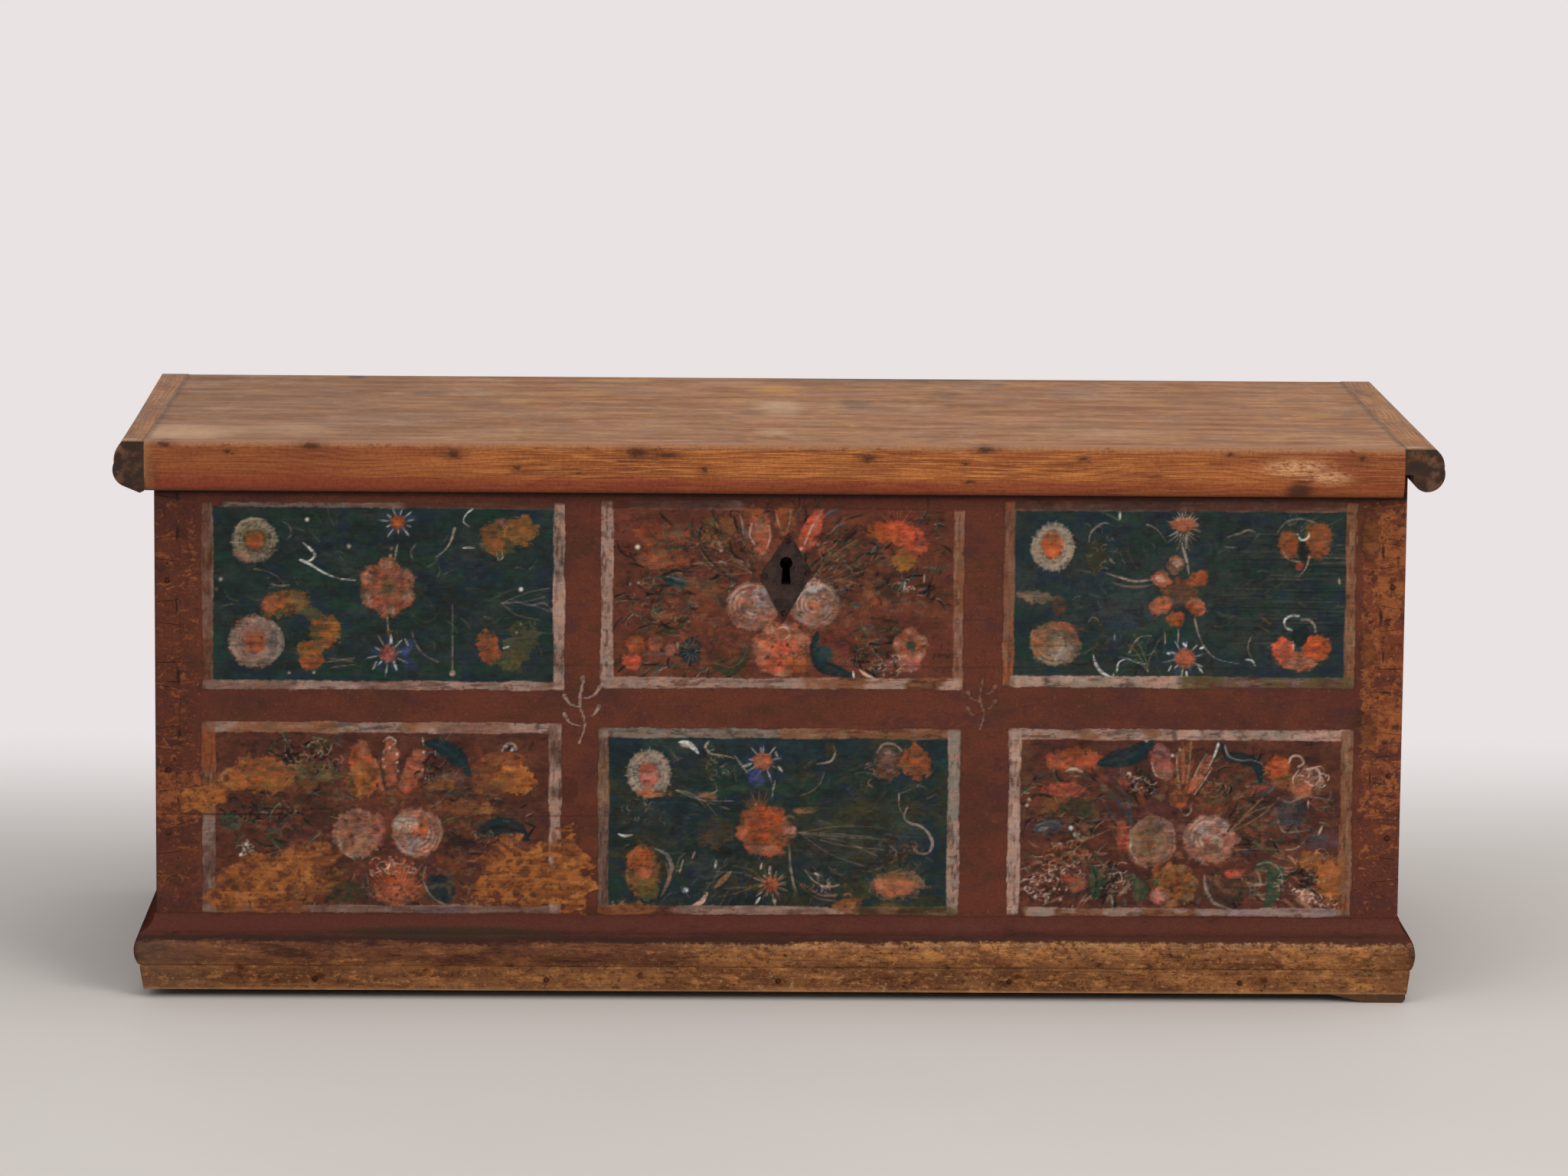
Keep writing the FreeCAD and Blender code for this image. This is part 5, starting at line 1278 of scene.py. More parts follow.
panels["top_middle"] = {
    "middle": (2.75, 386.25), "outer": (-170, 172, -90, 89), "inner": (-157.5, 161.5, -79.5, 80),
    "ground": ("redWarm", "red", "brownRed", "redWarm"),
    "bands": (("left", (0, 1), ("pinkWhite", "stone"), 0.9), ("top", (0.08, 0.4), ("dusty",), 0.7),
              ("top", (0, 0.3), ("plum",), 0.4), ("right", (0, 0.96), ("tanOrange", "rose"), 0.95),
              ("bottom", (0, 0.66), ("pinkWhite", "stone"), 0.9),
              ("bottom", (0.55, 1), ("tanOrange", "pinkWhite"), 0.9)),
}
brushwork["top_middle"] = (
    (dab, (-112, 55, 26, 12, "orange", 0, 0.45, 0.5), (-108, 34, 26, 8, "orange", -5, 0.75, 0.5),
     (-120, 30, 16, 7, "salmon", 0, 0.5, 0.6)),
    (dots, (((-135, 44),), 3, "white")),
    (dab, (-66, 58, 9, 16, "ochre", 5, 0.5, 0.5), (-52, 62, 6, 15, "ochre", 0, 0.6, 0.5)),
    (squiggles, (-70, 48, 22, 18, 22, "umber", 1.5, 0.75), (-62, 46, 24, 18, 16, "rose", 1.1, 0.7),
     (-122, -4, 20, 20, 12, "tan", 1.1, 0.6), (-108, -24, 26, 16, 18, "oliveDark", 1.6),
     (-100, -22, 24, 14, 12, "tan", 1, 0.6)),
    (hairs,
     ((-25, 22), ((-95, 46), (-92, 36), (-86, 60), (-70, 66), (-60, 20), (-78, 14),
      (-92, 24)), "umber", 2, 7, 0.6),
     ((-28, 20), ((-90, 50), (-80, 62), (-74, 30), (-90, 28)), "rose", 1.1, 7, 0.6)),
    (leaf, (((-110, 13), (-99, 11), (-86, 7)), 10, "teal", "greyWhite", "tealDark"),
     (((-88, 8), (-72, 8), (-56, -6), (-50, -18)), 15, "brown", None, "oliveDark")),
    (dots, (((-142, 9), (-57, 41), (-97, -48), (-134, 10)), 1.8, "pinkWhite")),
    (dab, (-20, 60, 10, 22, "salmon", 8, 0.95, 0.25)),
    (stroke, (((-28, 68), (-30, 55), (-22, 44)), 2.4, "pinkWhite", 0.8),
     (((-12, 66), (-11, 54), (-14, 44)), 2.4, "pinkWhite", 0.7)),
    (dab, (-30, 80, 12, 6, "orange", -20, 0.7), (3, 72, 10, 17, "orange", 0, 0.9, 0.3)),
    (stroke, (((-6, 80), (-3, 66), (2, 56)), 2.2, "cream", 0.7),
     (((8, 80), (7, 68), (4, 58)), 2, "cream", 0.6),
     (((-40, 76), (-37, 66), (-36, 54)), 2.6, "greyWhite", 0.8)),
    (dab, (-34, 57, 3, 6, "lilac", 20, 0.6), (27, 60, 9, 23, "coral", -22, 0.9, 0.25)),
    (stroke, (((36, 76), (28, 64), (20, 44)), 3.2, "pinkWhite", 0.8),
     (((40, 82), (34, 74), (30, 60)), 3, "rose", 0.7)),
    (dots, (((18, 43), (34, 47)), 2, "cream")),
    (hairs,
     ((22, 8), ((78, 58), (84, 44), (88, 30), (86, 14), (70, 66), (60, 44), (76, 6), (66, -6),
      (58, 30)), "umber", 2.2, 7, 0.65),
     ((24, 8), ((70, 52), (78, 38), (80, 24), (72, 10), (60, 38), (52, 50)), "tan", 1.2, 6, 0.7)),
    (squiggles, (58, 26, 26, 24, 22, "umber", 1.6, 0.7), (54, 30, 24, 20, 16, "tan", 1.1, 0.6)),
    (dab, (106, 59, 26, 11, "bright", -4, 0.95, 0.4, 0.35), (122, 50, 14, 14, "coral", 0, 0.8, 0.5)),
    (fan, (108, 62, 24, 20, 160, 13, "coral", 1.8, 0.6)),
    (dab, (115, 33, 11, 12, "amber", 0, 0.9, 0.4), (102, 2, 14, 9, "umber", 0, 0.55, 0.5),
     (84, -2, 12, 10, "orange", 0, 0.35, 0.6)),
    (stroke, (((116, 14), (115, 4)), 3, "cream", 0.9), (((134, 20), (134, 12)), 3, "cream", 0.9)),
    (squiggles, (120, 4, 14, 12, 10, "pinkWhite", 1, 0.6)),
    (tangle, (-68, 32, 50, 36, 90, leafWork), (-112, -12, 38, 30, 60, leafWork),
     (62, 26, 44, 38, 90, leafWork), (86, -48, 26, 26, 60, leafWork), (126, 6, 30, 24, 30, leafWork),
     (-80, -64, 60, 16, 44, leafWork), (-104, 44, 44, 24, 26, leafWork), (0, 74, 70, 12, 30, leafWork),
     (130, 44, 22, 30, 16, leafWork)),
    (rose, (-27, -11, 25, "rose", "pinkWhite", "salmon", "salmon", 60, 0.92)),
    (dab, (-17, -4, 12, 13, "lilac", 20, 0.75, 0.4)),
    (rose, (31, -9, 24, "rose", "pinkWhite", "lilac", "salmon", 20, 0.95)),
    (dab, (28, 3, 14, 12, "stone", 0, 0.7, 0.4)),
    (fan, (31, 0, 16, 40, 150, 12, "white", 1.6, 0.4)),
    (petalFlower, (0, -52, 27, 7, "salmon", "pinkWhite", "coral", 12, 0.44)),
    (dab, (0, -52, 27, 26, "redDark", 0, 0.2, 0.6, 0.6), (-18, -50, 9, 12, "salmon", 0, 0.9),
     (20, -48, 9, 13, "salmon", 0, 0.9), (-4, -68, 14, 7, "coral", 0, 0.8), (14, -66, 12, 8, "orange")),
    (stroke, (((-5, -33), (4, -31), (8, -38), (3, -43)), 2.6, "pinkWhite", 0.9)),
    (dots, (((-8, -50), (6, -48), (0, -58), (12, -56), (-12, -60)), 1.6, "umber")),
    (leaf, (((34, -36), (32, -52), (38, -66), (54, -73), (70, -77)), 13, "tealDark", None, "teal")),
    (dab, (40, -56, 9, 8, "teal", 0, 0.9, 0.4), (55, -43, 17, 11, "brownRed", -20, 0.9, 0.4)),
    (stroke, (((68, -73), (69, -79)), 3.6, "white", 1),
     (((74, -71), (80, -76), (88, -79)), 4.4, "pinkWhite")),
    (squiggles, (82, -55, 10, 18, 12, "tan", 1, 0.6)),
    (petalFlower, (122, -48, 17, 5, "salmon", "pinkWhite", "leaf", 90, 0.5)),
    (dab, (121, -66, 10, 8, "pink", 0, 0.85, 0.3), (102, -67, 5, 6, "pink", 0, 0.8)),
    (squiggles, (106, -68, 18, 10, 12, "cream", 1, 0.6)),
    (dots, (((108, -62), (104, -74), (97, -76), (112, -73), (108, -82), (98, -84)), 1.6, "cream")),
    (dab, (-136, -48, 10, 9, "orange"), (-140, -64, 9, 9, "coral", 0, 0.8),
     (-118, -47, 7, 9, "salmon", 0, 0.7), (-104, -53, 5, 6, "pink", 0, 0.7)),
    (dots, (((-145, -58), (-131, -57), (-126, -52)), 1.6, "redDark")),
    (dab, (-85, -54, 11, 13, "tealDark", 0, 0.85, 0.4)),
    (fan, (-84, -54, 17, 0, 330, 14, "greyWhite", 1.1, 0.6)),
    (stroke, (((-97, -46), (-97, -52)), 3, "cream", 0.9)),
    (leaf, (((-66, -68), (-50, -73), (-38, -66), (-31, -48)), 10, "oliveDark", "tan")),
    (squiggles, (-84, -70, 20, 8, 8, "umber", 1.3, 0.6), (-30, 76, 40, 10, 12, "umber", 1.3, 0.5)),
)

panels["top_right"] = {
    "middle": (378.5, 386.75), "outer": (-167.6, 165.2, -87.7, 90.4), "inner": (-156.8, 154.3, -76.7, 80.1),
    "ground": ("greenGrey", "green", "greenBlue", "greenBright", "greenGrey", "blueDark"),
    "bands": (("left", (0, 1), ("tanOrange", "orange"), 0.9), ("left", (0.25, 0.95), ("dusty",), 0.5),
              ("top", (0.02, 1), ("dusty", "tan"), 0.6), ("right", (0, 1), ("tanOrange", "tan"), 0.95),
              ("bottom", (0.02, 0.55), ("cream", "pinkWhite"), 0.9),
              ("bottom", (0.5, 1), ("dusty", "olive"), 0.85)),
}
brushwork["top_right"] = (
    (scratches, (28, 150, -45, 50, 60, "greenDark", 1.2, 0.7), (28, 150, -45, 60, 26, "stone", 0.9, 0.3)),
    (dab, (-50, -20, 30, 30, "slate", 0, 0.35, 0.5), (-30, 52, 26, 16, "green", 0, 0.5, 0.5)),
    (tangle, (80, 10, 70, 60, 80, vineWork, 2, 0.45), (-60, 30, 50, 46, 50, vineWork, 2, 0.5),
     (-50, -50, 50, 26, 50, vineWork, 2, 0.5), (116, 44, 34, 30, 40, vineWork, 2, 0.5)),
    (ringFlower, (-121, 46, 21, "cream", "cream", "orange", 1.15, 40)),
    (dab, (-121, 46, 22, 22, "greenDark", 0, 0.14, 0.6, 0.7), (-122, 48, 11, 13, "orange", 0, 0.9, 0.4)),
    (stroke, (((-139, 52), (-141, 42), (-136, 30)), 5, "cream", 0.7)),
    (dab, (-137, -2, 20, 6, "tan", -4, 0.8, 0.5, 0.5), (-114, -10, 7, 12, "brown", 0, 0.7, 0.6, 0.5)),
    (rose, (-118, -46, 25, "tan", "cream", "dusty", "ochre", 150, 0.86)),
    (dab, (-118, -46, 25, 22, "greenDark", 0, 0.24, 0.6, 0.7),
     (-133, -46, 8, 12, "tanOrange", 0, 0.7, 0.4), (-111, -52, 12, 12, "greyWhite", 0, 0.6, 0.5),
     (-108, -30, 18, 4, "salmon", -8, 0.6, 0.5)),
    (stroke, (((-88, 50), (-85, 61), (-74, 69), (-65, 66)), 3.2, "greyWhite", 0.7),
     (((-59, 80), (-59, 71)), 4, "white", 0.9)),
    (dab, (-80, 36, 10, 14, "oliveDark", 0, 0.8, 0.5)),
    (squiggles, (-76, 42, 12, 26, 12, "greyWhite", 1, 0.45)),
    (stroke, (((-34, 68), (-25, 64), (-18, 56), (-15, 50)), 2.6, "greyWhite", 0.8, "comma"),
     (((-70, 38), (-66, 33), (-62, 30)), 3, "stone", 0.7),
     (((-72, 22), (-60, 18), (-42, 14), (-20, 17)), 3.2, "pinkWhite", 0.8),
     (((-66, 13), (-52, 9), (-36, 9), (-24, 12)), 2.4, "tan", 0.6)),
    (dab, (-2, 3, 17, 15, "brown", 0, 0.9, 0.3), (-19, 16, 10, 8, "salmon", -30),
     (-20, 16, 5, 4, "pinkWhite", -30, 0.6), (-6, 30, 9, 9, "tanOrange", 60),
     (-4, 31, 4, 5, "pinkWhite", 60, 0.6), (16, 16, 10, 8, "orange", 30), (-19, -9, 11, 9, "salmon", 30),
     (14, -10, 11, 8, "salmon", -30), (-5, -22, 8, 9, "orange", 90)),
    (starFlower, (2, 66, 18, "salmon", "pinkWhite", "cream", "green", 12, 0.8)),
    (dab, (2, 68, 13, 7, "salmon", 0, 0.9)),
    (fan, (1, 62, 20, 200, 340, 9, "cream", 1.8, 0.8, 0.3), (2, 68, 16, 40, 150, 8, "cream", 1.8, 0.8, 0.5)),
    (stroke, (((-1, 52), (2, 42), (5, 32), (7, 20)), 4, "cream", 0.8), (((3, 55), (4, 45)), 2, "lilac")),
    (starFlower, (4, -59, 20, "coral", "salmon", "white", "blue", 10)),
    (dab, (5, -60, 10, 11, "salmon", 0, 0.7)),
    (stroke, (((-13, -54), (-8, -55)), 4.5, "white", 1), (((6, -71), (7, -77)), 3.4, "white", 1),
     (((17, -67), (22, -73)), 3.4, "white", 1), (((18, -50), (23, -48)), 4, "white", 1),
     (((-8, -66), (-11, -72)), 3, "white", 0.9), (((2, -44), (6, -48)), 4, "white", 1),
     (((-2, -31), (-2, -46)), 2.2, "stone", 0.9),
     (((13, -21), (17, -36), (24, -50), (36, -60), (56, -64)), 3, "greyWhite", 0.95, "comma"),
     (((61, -60), (68, -61), (71, -66)), 3.2, "white"),
     (((67, -37), (64, -46), (65, -54), (68, -58)), 2.4, "greyWhite", 0.8),
     (((-87, -26), (-84, -21), (-79, -22), (-75, -29)), 2.4, "stone", 0.7),
     (((-82, -56), (-79, -66), (-72, -74), (-62, -78)), 5.2, "white"),
     (((-62, -74), (-64, -79)), 3, "cream", 0.8),
     (((-59, -72), (-58, -64), (-50, -60), (-42, -63), (-32, -65)), 3.2, "white", 0.9, "comma"),
     (((-48, -54), (-44, -46), (-38, -39), (-27, -38)), 4.2, "cream", 0.9, "comma"),
     (((-62, -36), (-62, -43)), 2.4, "greyWhite", 0.8), (((-15, -33), (-14, -46)), 2, "stone")),
    (squiggles, (-76, -46, 10, 24, 14, "oliveDark", 2), (-36, -56, 20, 16, 12, "oliveDark", 2, 0.7)),
    (hairs, ((-30, -72), ((-52, -44), (-44, -36), (-20, -42), (-58, -58)), "stone", 1, 4, 0.45)),
    (stroke, (((42, 56), (54, 60), (62, 63), (69, 61)), 3.4, "cream", 0.7),
     (((40, 47), (52, 46)), 2.2, "stone", 0.95, "comma")),
    (dab, (101, 49, 10, 14, "orange", 10, 0.9, 0.35), (128, 52, 13, 17, "orange", -10, 0.8, 0.4),
     (124, 62, 9, 8, "ochre", 0, 0.8, 0.4), (114, 44, 6, 9, "greenDark", 0, 0.8)),
    (stroke, (((108, 60), (112, 54), (118, 56), (120, 63)), 4, "white", 0.9),
     (((94, 44), (100, 36), (112, 33)), 2.8, "cream", 0.8),
     (((120, 38), (117, 28), (111, 20)), 3.4, "cream", 0.9, "comma")),
    (dab, (111, 29, 4, 5, "coral", 0, 0.7)),
    (stroke, (((90, 62), (98, 71), (112, 74), (126, 70)), 2.4, "greyWhite", 0.6, "line")),
    (fan, (104, 66, 14, 60, 150, 7, "greyWhite", 1.2, 0.6)),
    (stroke, (((148, 18), (149, 12)), 3.4, "cream", 0.8)),
    (dab, (113, -62, 20, 9, "salmon", 0, 0.95, 0.3), (97, -50, 11, 12, "coral", 0, 0.95, 0.3),
     (129, -48, 14, 13, "bright", 0, 0.95, 0.3), (113, -36, 9, 10, "greenDark", 0, 0.95, 0.3)),
    (stroke, (((106, -42), (107, -52)), 2.6, "pinkWhite", 0.7),
     (((105, -32), (99, -29), (98, -22), (104, -18), (111, -18)), 3.6, "white", 0.95, "line"),
     (((114, -22), (121, -22), (126, -27), (127, -33)), 2.8, "greyWhite", 0.85, "line"),
     (((76, -20), (86, -27)), 2.8, "tan", 0.6), (((74, -28), (84, -34)), 2, "rose", 0.5)),
)

panels["bottom_left"] = {
    "middle": (-370.65, 168.25), "outer": (-171, 168, -88.5, 95), "inner": (-157.5, 156, -81, 84),
    "ground": ("red", "plum", "redDark", "redWarm"),
    "bands": (("top", (0, 0.66), ("stone", "tanOrange"), 0.95),
              ("top", (0.6, 1), ("pinkWhite", "rose"), 0.9), ("left", (0, 0.54), ("dusty", "stone"), 0.8),
              ("left", (0.5, 1), ("tanOrange", "orange"), 0.85),
              ("right", (0, 1), ("dusty", "pinkWhite"), 0.85), ("bottom", (0, 1), ("lilac", "dusty"), 0.75)),
}
brushwork["bottom_left"] = (
    (dab, (-112, 44, 32, 17, "wood", 0, 0.65, 0.5, 0.4), (-140, 38, 14, 10, "wood", 0, 0.6, 0.5),
     (-62, 44, 25, 11, "olive", 0, 0.55, 0.6), (-96, 34, 30, 6, "amber", 0, 0.5, 0.6)),
    (squiggles, (-66, 62, 26, 16, 26, "dark", 1.7), (-66, 62, 26, 16, 18, "tan", 1.1, 0.65),
     (-62, 72, 12, 10, 9, "cream", 1.1, 0.6)),
    (stroke, (((-140, 36), (-148, 34), (-152, 42), (-146, 48)), 2.6, "tan", 0.8, "line")),
    (dab, (-147, 40, 3, 4, "dark"), (-18, 47, 13, 26, "orange", 12, 0.9, 0.35),
     (-22, 38, 14, 16, "amber", 0, 0.8, 0.45), (-19, 68, 7, 10, "salmon", 25, 0.7)),
    (stroke, (((-8, 60), (-4, 42), (1, 25)), 5, "salmon", 0.8)),
    (dab, (7, 56, 8, 24, "salmon", 0, 0.9, 0.3)),
    (dots, (((1, 66), (0, 59), (1, 52), (13, 64), (13, 56), (14, 48), (6, 70)), 1.7, "pinkWhite")),
    (stroke, (((0, 76), (6, 80), (12, 76), (8, 72)), 3, "cream", 0.9)),
    (dab, (29, 50, 9, 22, "salmon", -20, 0.9, 0.3), (22, 34, 8, 9, "coral", 0, 0.7)),
    (dots, (((38, 66), (38, 58), (37, 49), (40, 42)), 1.8, "pinkWhite")),
    (stroke, (((37, 80), (38, 72)), 3.4, "cream", 0.9)),
    (squiggles, (48, 46, 14, 18, 14, "dark", 1.6, 0.7)),
    (leaf, (((40, 75), (54, 72), (68, 62), (76, 54), (81, 43)), 17, "tealDark", None, "teal")),
    (dab, (62, 42, 20, 4, "tan", 5, 0.6, 0.5), (56, 34, 16, 6, "wood", 0, 0.5, 0.6),
     (113, 61, 27, 6, "orange", 0, 0.85, 0.5), (108, 52, 26, 4, "orange", 0, 0.7, 0.5),
     (125, 40, 19, 13, "wood", 0, 0.9, 0.4)),
    (dots, (((116, 71), (121, 69)), 2.2, "white")),
    (stroke, (((112, 68), (116, 74), (123, 74), (125, 69)), 3, "greyWhite", 0.9, "line")),
    (dab, (118, 70, 4, 2, "dark")),
    (scratches, (78, 120, 30, 42, 12, "tan", 1.4, 0.6)),
    (dab, (92, 12, 20, 5, "ochre", 0, 0.8, 0.5)),
    (hairs, ((55, 0), ((88, 34), (100, 40), (72, 24), (110, 28), (62, 22)), "umber", 1.8, 5, 0.6)),
    (dab, (-143, -1, 11, 8, "leaf", 0, 0.8, 0.5)),
    (squiggles, (-125, 6, 30, 8, 14, "dark", 1.5, 0.7)),
    (stroke, (((-122, 12), (-96, 11), (-48, 11)), 1.8, "dark", 0.6, "line"),
     (((-124, 18), (-118, 8), (-110, 12)), 2, "dark", 0.95, "comma")),
    (dots, (((-131, -28), (-129, -23), (-134, -33)), 2, "white")),
    (squiggles, (-130, -24, 10, 10, 14, "cream", 1.1, 0.7)),
    (tangle, (-80, 20, 60, 34, 60, leafWork), (92, 10, 50, 44, 70, leafWork),
     (0, -66, 90, 18, 60, leafWork), (-66, 60, 40, 22, 40, leafWork), (50, 50, 30, 30, 30, leafWork),
     (-110, -14, 30, 18, 30, leafWork)),
    (rose, (-24, -12, 24, "rose", "tan", "orange", "salmon", 100)),
    (stroke, (((-42, -10), (-40, -26), (-26, -38)), 5, "pinkWhite", 0.5)),
    (dab, (-4, -8, 6, 18, "pink", 0, 0.6)),
    (rose, (31, -11, 24, "rose", "pinkWhite", "lilac", "salmon", 200)),
    (dab, (20, -2, 10, 9, "cream", 20, 0.6, 0.5), (24, -22, 12, 8, "lilac", 20, 0.5, 0.5),
     (38, -7, 5, 11, "orange", 0, 0.9, 0.3)),
    (stroke, (((50, 6), (55, -10), (50, -26)), 4, "pinkWhite", 0.6)),
    (dab, (72, -22, 14, 8, "dark", 0, 0.45, 0.6)),
    (scratches, (70, 96, -50, -34, 9, "tan", 1.2, 0.6)),
    (leaf, (((88, -14), (104, -6), (120, -6), (138, -18)), 19, "tealDark", None, "dark")),
    (squiggles, (92, -16, 10, 10, 8, "tan", 1.2, 0.6)),
    (dab, (12, -60, 20, 20, "orange", 0, 0.8, 0.4)),
    (fan, (12, -78, 44, 35, 145, 17, "coral", 3, 0.7)),
    (squiggles, (8, -44, 22, 9, 24, "pinkWhite", 1.4, 0.75)),
    (dab, (12, -72, 22, 10, "salmon", 0, 0.6, 0.5)),
    (dots, (((-12, -40), (-4, -36), (4, -40), (12, -35), (20, -38), (28, -41)), 2, "coral")),
    (squiggles, (20, -66, 20, 14, 12, "umber", 1.4, 0.6)),
    (dab, (-36, -68, 22, 12, "oliveDark", 0, 0.75, 0.5), (54, -64, 15, 13, "tealDark", 0, 0.85, 0.4)),
    (stroke, (((40, -44), (38, -56), (44, -70), (56, -79), (72, -80)), 2.2, "greyWhite", 0.7, "line")),
    (squiggles, (86, -72, 12, 10, 10, "tan", 1.2, 0.6)),
    (dab, (-78, -50, 40, 12, "ochre", 8, 0.5, 0.6)),
)

